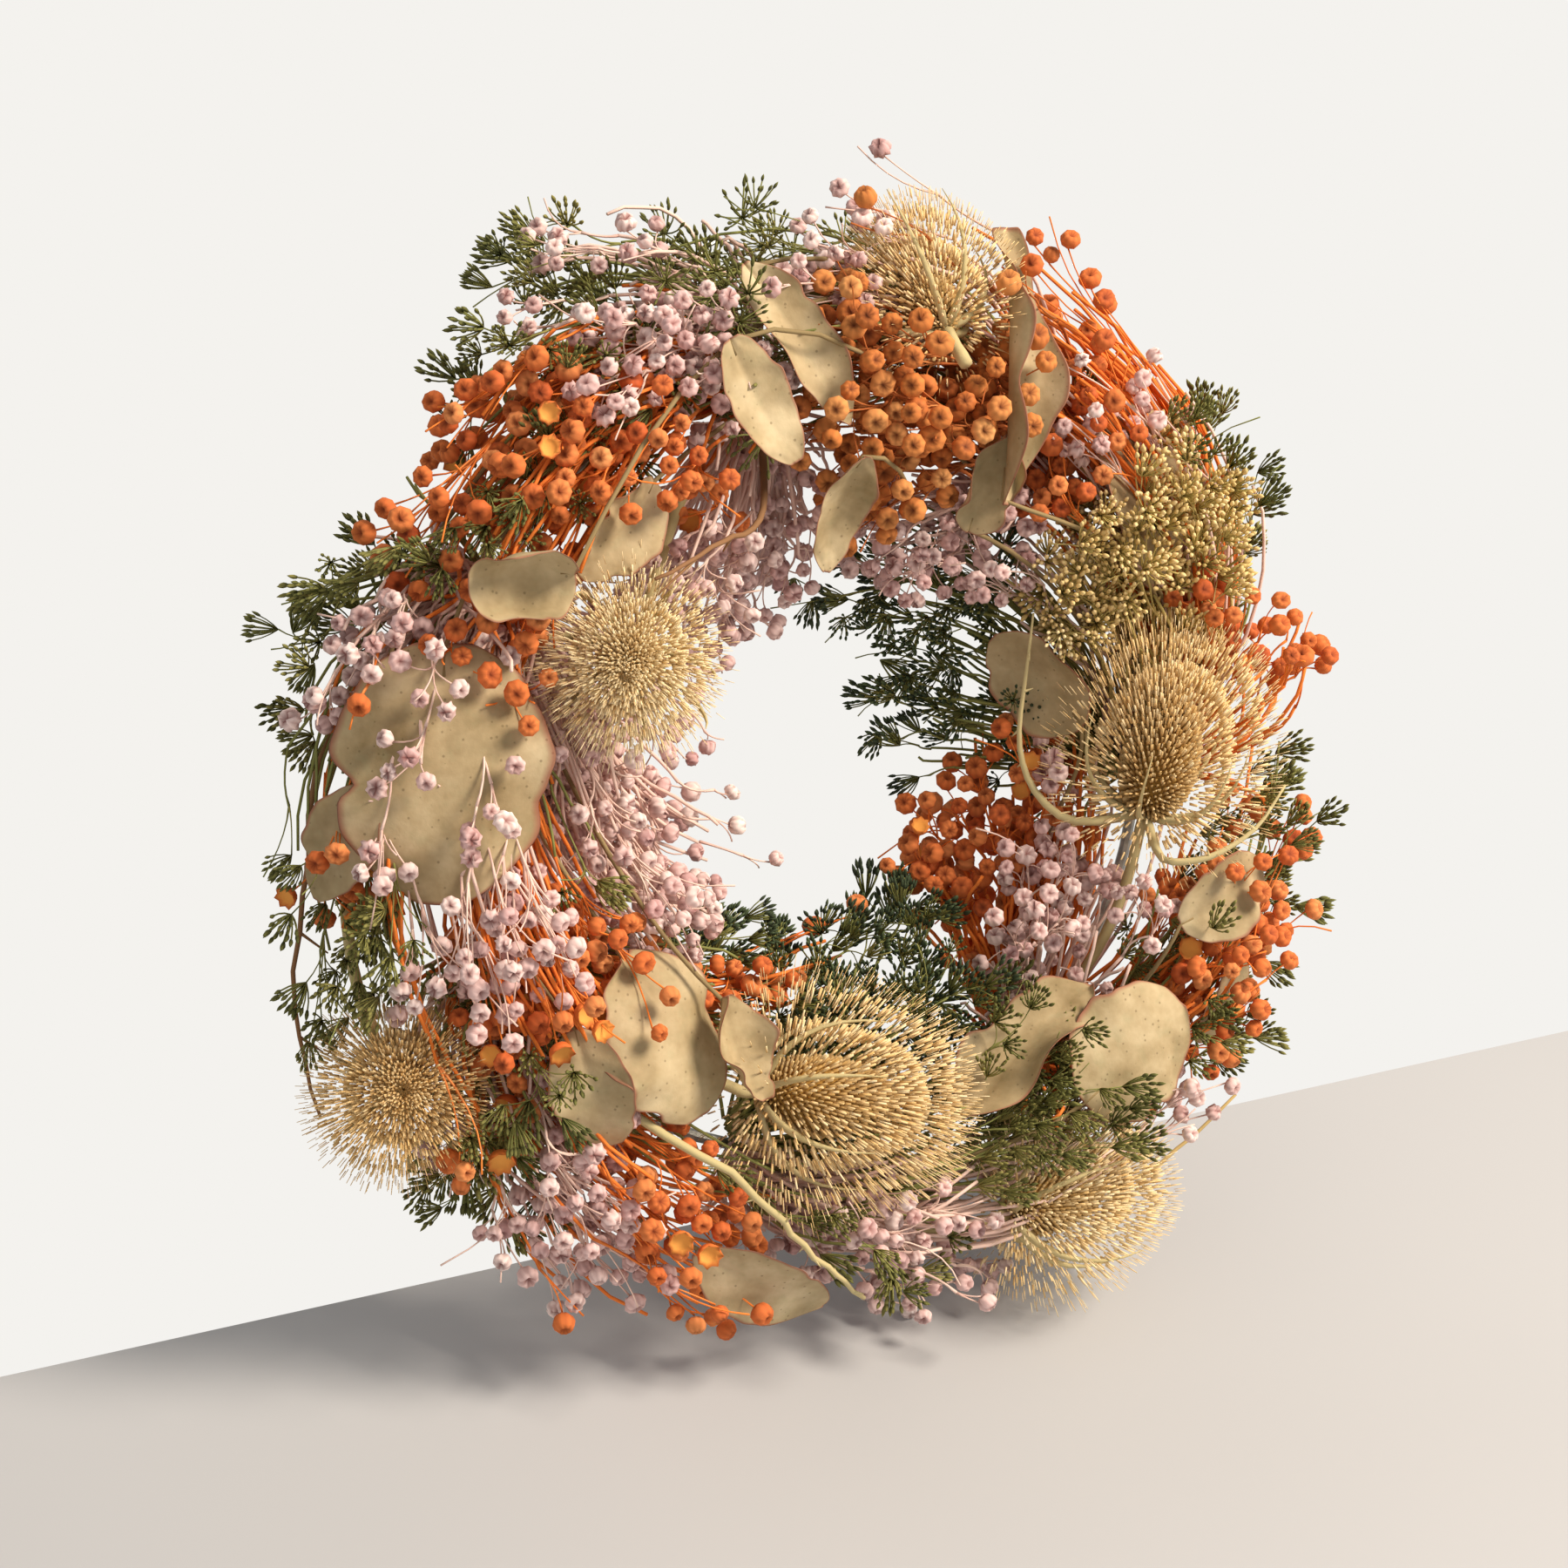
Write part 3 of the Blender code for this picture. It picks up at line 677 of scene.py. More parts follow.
def makeTeasel(name, at, points, core, spine, hooked, pale, station=None, row=0, sweep=1.0, bracts=()):
    middle = onRing(at[0], at[1], at[2] * mm)
    axis = unit(np.array(points) @ np.array(ringFrame(at[0], at[1])))
    facing = turnsAlong(axis[None], np.array([0.0]))[0]
    length, radius = core[0] * mm, core[1] * mm
    headSpaces.append((middle, axis, length / 2 + spine * mm * 0.75, radius + spine * mm * 0.7))
    base = middle - axis * length / 2
    steps = np.linspace(0.001, 0.999, 18)
    profile = np.maximum(eggWidth(steps, radius), 0.4 * mm)
    path = base + axis * (length * steps)[:, None]
    parts = [tubes(path[None], profile[None], 20, np.array([0.5]), 1)]
    parts += teaselSpines(base, axis, facing, length, radius, spine, hooked, pale, sweep)
    parts.append(teaselStem(base, axis, station, row))
    parts += teaselBracts(base, axis, facing, radius)
    for places in bracts:
        parts += reachingBract(base, places)
    makePiece(name, parts, [spineStraw, coreBract, stemStraw], name)


for name, spec in teasels.items():
    makeTeasel(name, **spec)
print("teasels made")


leaves = {
    # station and side it is bound on, blade middle, length and width in mm, then how it is bent:
    # roll across and bend along in degrees, yaw, pitch and tilt in degrees, wave in mm,
    # shape 0 narrow to 1 round, torn the share of one margin that is gone
    "leaf_1": dict(bound=(1, 0), at=(170, 22, 62), size=(80, 68), roll=-50, bend=-45, wave=3.5, shape=1.0),
    "leaf_2": dict(bound=(1, 48), at=(177, 52, 61), size=(42, 26), roll=30, bend=-20, yaw=35, shape=0.5),
    "leaf_3": dict(bound=(0, 48), at=(146, 14, 69), size=(34, 40), roll=230, bend=70, yaw=60, tilt=25,
                   wave=2, shape=0.9, torn=0.4),
    "leaf_4": dict(bound=(0, 0), at=(132, -10, 54), size=(40, 26), roll=40, bend=-50, shape=0.8, torn=0.3),
    "leaf_5": dict(bound=(0, -48), at=(107, -1, 67), size=(44, 22), roll=60, bend=40, yaw=-97, wave=1,
                   shape=1.0),
    "leaf_5_behind": dict(bound=(0, 30), at=(97, 10, 61), size=(60, 24), roll=110, bend=-20, yaw=-108,
                          wave=2, shape=0.5),
    "leaf_6": dict(bound=(0, -95), at=(95, -38, 68), size=(46, 22), roll=90, bend=50, yaw=-80, wave=1,
                   shape=0.6),
    "leaf_7": dict(bound=(6, 0), at=(66, 6, 64), size=(90, 36), roll=210, bend=-15, yaw=77, tilt=-30,
                   wave=4, shape=0.5),
    "leaf_8": dict(bound=(6, -48), at=(63, -28, 64), size=(36, 26), roll=170, bend=20, yaw=80, wave=3,
                   shape=0.5),
    "leaf_9": dict(bound=(6, 48), at=(38, 6, 52), size=(76, 34), roll=50, bend=-30, yaw=30, wave=2,
                   shape=0.7),
    "leaf_10": dict(bound=(5, -95), at=(15, -60, 62), size=(44, 36), roll=90, bend=40, yaw=-30, wave=2,
                    shape=0.8),
    "leaf_11": dict(bound=(2, 0), at=(215, -16, 66), size=(58, 54), roll=-75, bend=-45, yaw=20, wave=4,
                    shape=0.8, torn=0.3),
    "leaf_12": dict(bound=(2, -48), at=(226, -24, 69), size=(36, 28), roll=150, bend=60, yaw=40, wave=3,
                    shape=0.7, torn=0.4),
    "leaf_13": dict(bound=(2, 48), at=(213, 10, 62), size=(42, 27), roll=50, bend=-60, yaw=20, tilt=-20,
                    shape=0.8),
    "leaf_14": dict(bound=(4, 0), at=(305, -2, 66), size=(50, 48), roll=-35, bend=-30, wave=1.5, shape=1.0),
    "leaf_15": dict(bound=(5, 48), at=(322, 34, 54), size=(40, 34), roll=30, bend=-30, shape=0.8),
    "leaf_16": dict(bound=(4, -48), at=(291, -26, 62), size=(66, 32), roll=90, bend=-20, yaw=-10, tilt=35,
                    wave=5, shape=0.9),
    "leaf_17": dict(bound=(3, 48), at=(247, 36, 64), size=(58, 30), roll=40, bend=-40, yaw=14, shape=0.6),
    "leaf_18": dict(bound=(5, 0), at=(333, 2, 64), size=(40, 30), roll=60, bend=-50, yaw=40, shape=0.9),
}
leafThick = 0.35 * mm
leafPoints = []


def arc(distance, degrees, whole):
    # a flat distance bent on a circle that turns by degrees over the whole
    bend = math.radians(degrees) / whole
    if abs(bend) < 1e-3:
        return distance, np.zeros_like(distance)
    return np.sin(distance * bend) / bend, (1 - np.cos(distance * bend)) / bend


def leafOutline(u, s, at, width, shape, torn, dice):
    # distance from the midrib, and how much the margin is eaten away on one side
    power = 0.9 - 0.4 * shape
    half = width / 2 * np.maximum(np.sin(np.pi * np.clip(u, 0.012, 0.988) ** 0.9) ** power, 0.02)
    ripple = 1 + 0.03 * np.sin(u * 19 + at[0]) + 0.02 * np.sin(u * 41 + at[1])
    # a notch in each margin
    for side in (-1, 1):
        middle, deep = dice.uniform(0.25, 0.85), dice.uniform(0.0, 0.35)
        notch = deep * np.exp(-((u - middle) / 0.035) ** 2)
        ripple = ripple - np.where(s * side > 0, notch, 0)
    jagged = torn * np.interp(u, np.linspace(0, 1, 14), dice.uniform(0, 1, 14)) * (s > 0)
    return s * half * (ripple - jagged), jagged


def leafBlade(name, flat, at, size, roll, bend, yaw, pitch, tilt, wave, shape, torn):
    # the flat grid as a bent blade in its place, with where each point is along and across it
    u, s = flat[:, 0] + 0.5, flat[:, 1] * 2
    dice = np.random.default_rng(len(name) * 7 + int(at[0]))
    length, width = size[0] * mm, size[1] * mm
    across, jagged = leafOutline(u, s, at, width, shape, torn, dice)
    x, dropX = arc((u - 0.5) * length, bend, length)
    y, dropY = arc(across, roll, width)
    midrib = 1.2 * mm * np.exp(-(s / 0.12) ** 2) * (1 - u)
    z = dropX + dropY - midrib
    z = z + wave * mm * np.sin(u * 11 + at[0]) * s * np.abs(s)
    z = z + 0.4 * mm * np.sin(u * 23 + s * 5 + at[1]) * np.abs(s) + jagged * 14 * mm * s * s
    # shallow puckers between the side veins
    z = z + 0.25 * mm * np.sin(u * 46 - np.abs(s) * 9) * (1 - np.abs(s)) * np.minimum(np.abs(s) * 4, 1)
    turn = Matrix.Rotation(math.radians(yaw), 3, "Z") @ Matrix.Rotation(math.radians(pitch), 3, "Y")
    turn = np.array(turn @ Matrix.Rotation(math.radians(tilt), 3, "X"))
    local = np.stack([x, y, z], -1) @ turn.T
    return onRing(at[0], at[1], at[2] * mm) + local @ np.array(ringFrame(at[0], at[1])), u, s


def makeLeaf(name, bound, at, size, roll=0, bend=0, yaw=0, pitch=0, tilt=0, wave=0, shape=0.8, torn=0.0):
    deselectAll()
    bpy.ops.mesh.primitive_grid_add(x_subdivisions=22, y_subdivisions=12, size=1.0)
    item = bpy.context.object
    item.name = name
    mesh = item.data
    flat = np.empty(len(mesh.vertices) * 3)
    mesh.vertices.foreach_get("co", flat)
    flat = flat.reshape(-1, 3)
    verts, u, s = leafBlade(name, flat, at, size, roll, bend, yaw, pitch, tilt, wave, shape, torn)
    mesh.vertices.foreach_set("co", verts.ravel())
    addValues(mesh, "fold", np.maximum(np.abs(s), np.abs(2 * u - 1) ** 3))
    thickness = item.modifiers.new("thickness", "SOLIDIFY")
    thickness.thickness = leafThick
    thickness.offset = 0
    softness = item.modifiers.new("softness", "SUBSURF")
    softness.levels = softness.render_levels = 1
    for modifier in ("thickness", "softness"):
        bpy.ops.object.modifier_apply(modifier=modifier)
    bpy.ops.object.mode_set(mode="EDIT")
    bpy.ops.mesh.select_all(action="SELECT")
    bpy.ops.mesh.normals_make_consistent(inside=False)
    bpy.ops.object.mode_set(mode="OBJECT")
    bpy.ops.object.shade_smooth()
    mesh.materials.append(leafOlive)
    leafPoints.extend(verts[::2])
    # the stalk runs from the tie into the foot of the blade
    nearMidrib = np.abs(s) < 0.1
    along, around, off = placeOf(verts[(u < 0.05) & nearMidrib].mean(0))
    path = stemPath(bound[0], bound[1], (countedOn(bound[0], along), around, off), 12)
    path = np.concatenate([path, verts[(u > 0.1) & (u < 0.16) & nearMidrib].mean(0)[None]])
    part = tubes(path[None], np.linspace(1.0, 0.7, 13)[None] * mm, 6, np.array([0.6]))
    stalk = makeLoose(name + "_stalk", part, leafStalk)
    deselectAll()
    stalk.select_set(True)
    item.select_set(True)
    bpy.context.view_layer.objects.active = item
    bpy.ops.object.join()
    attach(item, "wreath")
    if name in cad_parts:
        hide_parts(name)


for name, spec in leaves.items():
    makeLeaf(name, **spec)
leafTree = KDTree(len(leafPoints))
for index, point in enumerate(leafPoints):
    leafTree.insert(point, index)
leafTree.balance()
print("leaves made")


# each spray: along, around, off in mm, how many heads or tufts (0 is a brush of bare stems)
bunches = {
    "terracotta_flowers_1": dict(station=0, kind="terracotta", sprays=[
        (88, 6, 62, 10), (81, 7, 64, 10), (68, 9, 62, 9), (94, -9, 60, 10), (85, -11, 64, 12),
        (76, -13, 64, 12), (68, -9, 62, 10), (87, -29, 60, 10), (76, -32, 60, 10), (85, -49, 58, 6),
        (91, 15, 62, 8), (85, 38, 72, 1), (70, 26, 74, 1)]),
    "pink_flowers_1": dict(station=0, kind="pink", sprays=[
        (64, -60, 60, 8), (57, -66, 60, 8), (62, -76, 60, 7), (69, -90, 58, 6), (75, -66, 58, 6),
        (92, 35, 62, 9), (84, 40, 66, 6), (80, 58, 76, 1), (97, 30, 60, 6), (88, 50, 72, 1)]),
    "green_umbels_1": dict(station=0, kind="star", sprays=[
        (100, 28, 60, 5), (102, 12, 58, 5), (98, 47, 66, 1), (107, 34, 64, 2), (96, 50, 54, 3),
        (105, 40, 58, 3), (90, 60, 50, 4), (80, 70, 44, 4)]),
    "green_umbels_2": dict(station=1, kind="green", sprays=[
        (113, 80, 66, 6), (119, 74, 68, 5), (125, 53, 62, 5), (123, 37, 62, 5), (139, 23, 60, 4),
        (143, 26, 58, 4), (133, 19, 58, 4), (148, 38, 58, 4), (130, 70, 50, 5), (117, 74, 70, 1),
        (120, 66, 72, 1)]),
    "orange_flowers_1": dict(station=1, kind="orange", sprays=[
        (127, 41, 62, 9), (134, 51, 62, 8), (128, 27, 62, 9), (121, 12, 62, 9), (122, -11, 60, 8),
        (131, 7, 60, 8), (136, 25, 62, 8), (143, 39, 62, 8), (148, 49, 60, 7), (149, 24, 56, 6),
        (153, 6, 56, 6), (134, 48, 74, 1), (129, 43, 76, 1), (126, 20, 60, 0), (136, 8, 60, 0),
        (144, 26, 58, 0)]),
    "pink_flowers_2": dict(station=1, kind="pink", sprays=[
        (100, -86, 68, 6), (108, -90, 72, 6), (118, -88, 72, 6), (128, -84, 66, 6), (92, -80, 66, 6),
        (139, -90, 74, 4), (115, 62, 68, 5), (116, 66, 76, 1), (118, 50, 80, 1), (122, 58, 62, 6),
        (108, 50, 64, 7), (118, 31, 64, 14), (114, 21, 64, 14), (106, 22, 64, 10), (123, 22, 62, 9),
        (112, 30, 58, 10), (115, -50, 58, 6), (130, -42, 66, 4), (122, -66, 62, 7), (110, -70, 56, 5)]),
    "pink_flowers_3": dict(station=2, kind="pink", sprays=[
        (154, 45, 62, 7), (159, 49, 64, 7), (164, 59, 64, 4), (161, 26, 68, 5), (169, 27, 70, 5),
        (176, 11, 70, 6), (168, -3, 62, 5), (180, 37, 66, 4), (188, 4, 66, 12), (189, 15, 66, 12),
        (164, 53, 74, 1), (182, 38, 74, 1), (196, 3, 64, 10), (192, 35, 64, 8), (197, 23, 64, 9)]),
    "orange_flowers_2": dict(station=2, kind="orange", sprays=[
        (197, -18, 60, 8), (202, 1, 60, 9), (208, -18, 60, 8), (201, 19, 60, 6), (162, 1, 60, 6),
        (159, 22, 58, 7), (179, 52, 60, 6), (184, 70, 56, 5), (165, 46, 74, 1), (211, 44, 72, 1),
        (205, 10, 62, 0), (213, -2, 62, 0)]),
    "pink_flowers_4": dict(station=2, kind="pink", sprays=[
        (181, -38, 60, 7), (195, -53, 60, 7), (194, -68, 62, 6), (206, -75, 64, 4), (201, -43, 66, 8),
        (210, -60, 60, 7), (175, -50, 54, 6)]),
    "pink_flowers_5": dict(station=3, kind="pink", sprays=[
        (223, 40, 62, 12), (222, 56, 62, 12), (227, 38, 62, 12), (229, 62, 60, 9), (217, 29, 60, 8),
        (218, 8, 58, 5), (233, 50, 60, 10)]),
    "orange_flowers_3": dict(station=3, kind="orange", sprays=[
        (212, 48, 64, 3), (230, 12, 60, 9), (234, 33, 62, 9), (244, 46, 60, 9), (229, 26, 62, 6),
        (238, 20, 56, 8), (229, 60, 74, 1), (242, 41, 74, 1), (226, 20, 62, 0)]),
    "orange_flowers_4": dict(station=3, kind="orange", sprays=[
        (252, -82, 62, 5), (240, -70, 54, 5), (228, -60, 50, 5), (268, -96, 78, 1), (278, -96, 78, 1)]),
    "green_umbels_left": dict(station=2, kind="green", sprays=[
        (153, 66, 62, 4), (159, 75, 64, 4), (186, 41, 60, 6), (190, 55, 60, 6), (182, 62, 60, 5),
        (194, 66, 60, 5), (180, 76, 72, 1), (192, -19, 58, 3), (168, 80, 50, 4), (159, 67, 68, 1),
        (152, 58, 68, 1)]),
    "green_umbels_low": dict(station=3, kind="green", sprays=[
        (207, 22, 60, 5), (212, 22, 60, 6), (212, 43, 58, 6), (214, 62, 62, 5), (222, 66, 54, 4),
        (240, 6, 56, 4), (255, 15, 60, 5)]),
    "pink_flowers_6": dict(station=4, kind="pink", sprays=[
        (264, 19, 60, 9), (258, 12, 60, 8), (279, 40, 60, 8), (284, 46, 62, 5), (270, 45, 58, 9),
        (305, 12, 60, 6), (310, 36, 60, 7), (274, 20, 54, 8), (268, 58, 48, 8), (281, 60, 48, 8),
        (260, 40, 46, 8), (303, 24, 74, 1), (273, 34, 74, 1), (272, 26, 62, 0), (284, 34, 60, 0),
        (296, 22, 60, 0)]),
    "green_umbels_3": dict(station=4, kind="green", sprays=[
        (293, -28, 62, 7), (296, -16, 62, 7), (298, -1, 62, 7), (288, -10, 62, 6), (283, -20, 60, 5),
        (296, 14, 62, 7), (286, 6, 60, 6), (280, 14, 58, 5), (280, 36, 64, 3), (278, 46, 56, 1),
        (266, 30, 62, 4), (292, 40, 60, 4)]),
    # painted shade: these umbels take the darker copy of the green bud finish
    "green_umbels_4": dict(station=4, kind="dark", sprays=[
        (286, -58, 60, 9), (278, -64, 58, 6), (268, -66, 52, 5), (292, -66, 56, 5), (266, -90, 70, 5),
        (276, -90, 72, 5), (288, -88, 72, 6), (298, -88, 70, 5)]),
    "green_umbels_5": dict(station=5, kind="green", sprays=[
        (330, 0, 58, 5), (316, 18, 60, 5), (319, 45, 60, 6), (347, 24, 62, 6), (338, 45, 58, 6),
        (328, 60, 52, 5), (350, 42, 56, 5)]),
    "orange_flowers_5": dict(station=5, kind="orange", sprays=[
        (337, 4, 60, 8), (333, 29, 62, 9), (324, 6, 60, 8), (321, 29, 60, 8), (328, 16, 62, 9),
        (316, 28, 58, 7), (345, 40, 56, 6), (329, 23, 76, 1), (338, 18, 74, 1), (289, -16, 62, 0)]),
    "orange_flowers_6": dict(station=5, kind="orange", sprays=[
        (359, -68, 60, 7), (335, -76, 62, 8), (326, -86, 60, 7), (318, -94, 62, 6), (345, -70, 58, 7),
        (312, -84, 54, 5), (352, -88, 68, 5), (342, -92, 72, 6), (332, -94, 74, 6), (322, -94, 74, 6),
        (312, -92, 72, 6)]),
    "pink_flowers_right": dict(station=5, kind="pink", sprays=[
        (327, -62, 60, 9), (317, -49, 62, 10), (312, -52, 60, 9), (340, -34, 60, 7), (327, -20, 60, 8),
        (333, -50, 58, 8), (352, -58, 58, 6)]),
    "gold_umbels_1": dict(station=6, kind="gold", sprays=[
        (38, -20, 62, 7), (34, -34, 60, 7), (39, -7, 62, 8), (36, 4, 62, 8), (29, 5, 62, 8),
        (24, 5, 60, 7), (33, -18, 64, 7), (26, -42, 58, 6), (30, 16, 58, 7)]),
    "green_umbels_6": dict(station=6, kind="green", sprays=[
        (28, 31, 62, 6), (39, 22, 62, 6), (34, 50, 56, 5), (20, 50, 50, 5), (45, 40, 50, 5)]),
    "pink_flowers_inner": dict(station=2, kind="pink", sprays=[
        (182, -80, 60, 6), (190, -88, 56, 6), (200, -84, 58, 6), (212, -70, 54, 6), (176, -70, 52, 5),
        (154, -92, 74, 3), (166, -92, 74, 4), (178, -92, 72, 4), (186, -95, 76, 4), (194, -96, 76, 4),
        (202, -95, 74, 3), (209, -92, 70, 3), (171, -93, 88, 1), (190, -84, 90, 1), (154, -84, 92, 1),
        (222, -84, 92, 1), (206, -80, 88, 1)]),
    # painted shade: these umbels take the darker copy of the green bud finish
    "green_umbels_inner": dict(station=3, kind="dark", sprays=[
        (224, -80, 54, 4), (236, -84, 56, 4), (248, -78, 54, 4), (258, -84, 50, 4), (218, -94, 66, 2),
        (228, -94, 66, 2), (240, -92, 66, 3), (252, -92, 66, 3)]),
    # painted shade: these umbels take the darker copy of the green bud finish
    "green_umbels_7": dict(station=6, kind="dark", sprays=[
        (359, -100, 92, 1), (4, -100, 88, 1), (10, -99, 93, 1), (17, -98, 90, 1), (25, -97, 92, 1),
        (350, -99, 86, 1), (14, -99, 84, 1), (33, -96, 88, 1), (15, -97, 72, 2), (8, -98, 74, 2),
        (2, -97, 70, 2), (30, -96, 70, 2), (42, -88, 68, 3), (51, -84, 66, 4), (22, -98, 78, 2),
        (58, -92, 70, 3), (70, -94, 70, 3), (82, -92, 68, 3), (36, -94, 78, 2)]),
    "orange_flowers_7": dict(station=6, kind="orange", sprays=[
        (66, 37, 72, 1), (57, 33, 76, 1), (4, 24, 76, 1), (13, 20, 72, 1), (9, 18, 76, 1),
        (60, 30, 66, 0), (54, 22, 66, 0), (50, 34, 64, 0), (57, 6, 64, 0), (47, 48, 60, 0),
        (54, 14, 64, 6), (51, -18, 60, 6), (54, 46, 60, 3), (62, 54, 66, 3), (13, 13, 62, 6),
        (6, 33, 64, 6), (20, 4, 58, 6), (48, 2, 64, 4)]),
    "pink_flowers_top": dict(station=6, kind="pink", sprays=[
        (48, 12, 62, 5), (51, 4, 62, 5), (51, 15, 80, 1), (56, 17, 76, 1), (47, 27, 72, 1),
        (44, -52, 60, 7), (51, -57, 58, 6), (36, 30, 58, 3)]),
}
umbelFoot = 5 * mm  # from the middle of an umbel back to where its rays meet

kinds = {
    # head and stem radius in mm, the shapes of a head, finishes, and the share of opened heads
    "orange": dict(slot="orange_flowers", head=3.8, heads=globes, stem=0.72, opened=0.06,
                   finishes=[orangePetal, orangeStem, yellowPetal]),
    "terracotta": dict(slot="terracotta_flowers", head=4.1, heads=globes, stem=0.68,
                       finishes=[terracottaPetal, terracottaStem, yellowPetal]),
    "pink": dict(slot="pink_flowers", head=3.25, heads=raggedGlobes, stem=0.68,
                 finishes=[pinkPetal, pinkStem, yellowPetal]),
    "green": dict(slot="green_umbels", tufts=tufts, stem=0.55, finishes=[greenBud, greenStem]),
    # painted shade: the green tufts again in the darker bud finish, for umbels in shade
    "dark": dict(slot="green_umbels", tufts=tufts, stem=0.55, finishes=[shadedGreenBud, greenStem]),
    "star": dict(slot="green_umbels", tufts=stars, stem=0.55, finishes=[greenBud, greenStem]),
    "gold": dict(slot="gold_umbels", tufts=domes, stem=0.6, finishes=[goldBud, goldStem]),
}
stemSteps = 11  # points along a stem, from its tie to its fork
takenHeads = []


def isClear(point, gap):
    # in front of the door, and away from teasels, leaves and other heads
    if point[1] > 6 * mm - 2 * gap:
        return False
    for middle, axis, half, wide in headSpaces:
        offset = point - middle
        rise = offset @ axis
        side = math.sqrt(max(offset @ offset - rise * rise, 0.0))
        if (rise / half) ** 2 + (side / wide) ** 2 < 1:
            return False
    if leafTree.find(point)[2] < gap + 1.5 * mm:
        return False
    apart = gap * 1.9
    for other in takenHeads:
        if abs(other[0] - point[0]) < apart and np.linalg.norm(other - point) < apart:
            return False
    return True


def bowed(start, end, lead, steps, wobble):
    # curved paths that leave along the lead direction
    part = np.linspace(0, 1, steps)[None, :, None]
    gap = np.linalg.norm(end - start, axis=-1)[:, None]
    control = start + lead * gap * 0.5 + rng.normal(0, 1, start.shape) * gap * wobble
    start, end, control = start[:, None], end[:, None], control[:, None]
    return start * (1 - part) ** 2 + control * 2 * part * (1 - part) + end * part ** 2


def tieHeight():
    # how far off the ring's middle a stem passes through its tie
    return rng.uniform(4.5, 11) * mm


def shorterSprays(sprays, share):
    # these fill in below and between
    full = [spray for spray in sprays if spray[3] > 1]
    under = []
    for extra in range(int(len(full) * share)):
        along, around, off, count = full[extra % len(full)]
        around = within(around, 92)
        moved = (along + rng.normal(-5, 6), around + rng.normal(0, 13), off * rng.uniform(0.55, 0.85), 5)
        under.append(moved)
    return under


def brushStems(station, along, around, off):
    # a brush of bare stems with no heads
    paths = []
    for extra in range(10):
        over = (along + rng.normal(0, 3.5), around + rng.normal(0, 7), off * mm * rng.uniform(0.8, 1.04))
        paths.append(stemPath(station, around * 0.9 + rng.normal(0, 12), over, stemSteps, tieHeight()))
    return paths


def bareStems(station, along, around, off):
    # a few bare stems beside each spray
    paths = []
    for extra in range(3):
        aside, turned = along + rng.normal(-6, 7), within(around + rng.normal(0, 12), 97)
        over = (aside, turned, off * mm * rng.uniform(0.55, 0.95))
        begin = within(around * 0.9 + rng.normal(0, 15), 110)
        paths.append(stemPath(station, begin, over, stemSteps, tieHeight()))
    return paths


def findHeads(tip, turn, spread, count, gap):
    # clear places for heads round the tip of a spray
    found = []
    for attempt in range(count * 14):
        if len(found) == count:
            break
        radius, angle = spread * math.sqrt(rng.uniform()), rng.uniform(0, fullTurn)
        rise = rng.uniform(-0.8, 0.7) * spread
        point = tip + turn @ np.array([radius * math.cos(angle), radius * math.sin(angle), rise])
        if isClear(point, gap):
            found.append(point)
            takenHeads.append(point)
    return np.array(found)


def growBranch(grown, heads, fork, heading, root, spread, footGap):
    # a branch splits into a pedicel for each of its heads, and one that has lost its head
    centre = heads.mean(0)
    split = fork + (centre - fork) * rng.uniform(0.45, 0.62) + rng.normal(0, 1.2 * mm, 3)
    grown["branches"].append((fork, split, heading))
    lead = unit(split - fork + heading * 0.01)
    for head in heads:
        lift = unit(head - root)
        way = unit(head - split) * 0.7 + lift * 0.5 + np.array([-0.2, -0.75, 0.12]) + rng.normal(0, 0.4, 3)
        way = unit(way)
        grown["heads"].append((head, way))
        grown["twigs"].append((split, head - way * footGap, lead))
    bare = centre + rng.normal(0, spread * 0.5, 3) + heading * 3 * mm
    if bare[1] < 0:
        grown["twigs"].append((split, bare, heading))


def growSpray(grown, station, along, around, off, count, isTuft, gap):
    # one stem to the fork, then branches of about three heads
    start = within(around * 0.9 + rng.normal(0, 8), 108)
    path = stemPath(station, start, (along, around, off * mm), 16, tieHeight())
    tip, fork = path[-1], path[stemSteps - 1]
    heading = unit(tip - path[-4])
    turn = turnsAlong(heading[None], np.array([rng.uniform(0, 6)]))[0]
    spread = (5.0 + 2.6 * math.sqrt(count) * (1.5 if isTuft else 1.15)) * mm
    found = findHeads(tip, turn, spread, count, gap)
    if len(found) == 0:
        return
    grown["stems"].append(path[:stemSteps])
    order = np.argsort(np.arctan2((found - tip) @ turn[:, 1], (found - tip) @ turn[:, 0]))
    root = onRing(along, around, 0.0)
    footGap = umbelFoot if isTuft else gap * 0.85
    for group in np.array_split(order, max(1, len(order) // 3)):
        growBranch(grown, found[group], fork, heading, root, spread, footGap)
    grown["stems"] += bareStems(station, along, around, off)


def stemTubes(stems, thick):
    # every stem wavers a little and bows a few millimetres
    count = len(stems)
    paths = np.stack(stems) + rng.normal(0, 0.3 * mm, (count, stemSteps, 3))
    bow = np.sin(np.linspace(0, math.pi, stemSteps))[None, :, None]
    paths = paths + rng.normal(0, 2.6 * mm, (count, 1, 3)) * bow
    taper = np.linspace(1.25, 0.85, stemSteps)[None] * thick * mm
    return tubes(paths, taper, 5, rng.uniform(0.1, 0.9, count), 1)


def forkTubes(links, wobble, taper, thick, tones):
    # each link is a start, an end and the direction it leaves in
    starts, ends, leads = (np.array(column) for column in zip(*links))
    paths = bowed(starts, ends, leads, 6, wobble)
    return tubes(paths, np.array([taper]) * thick, 4, rng.uniform(*tones, len(paths)), 1)


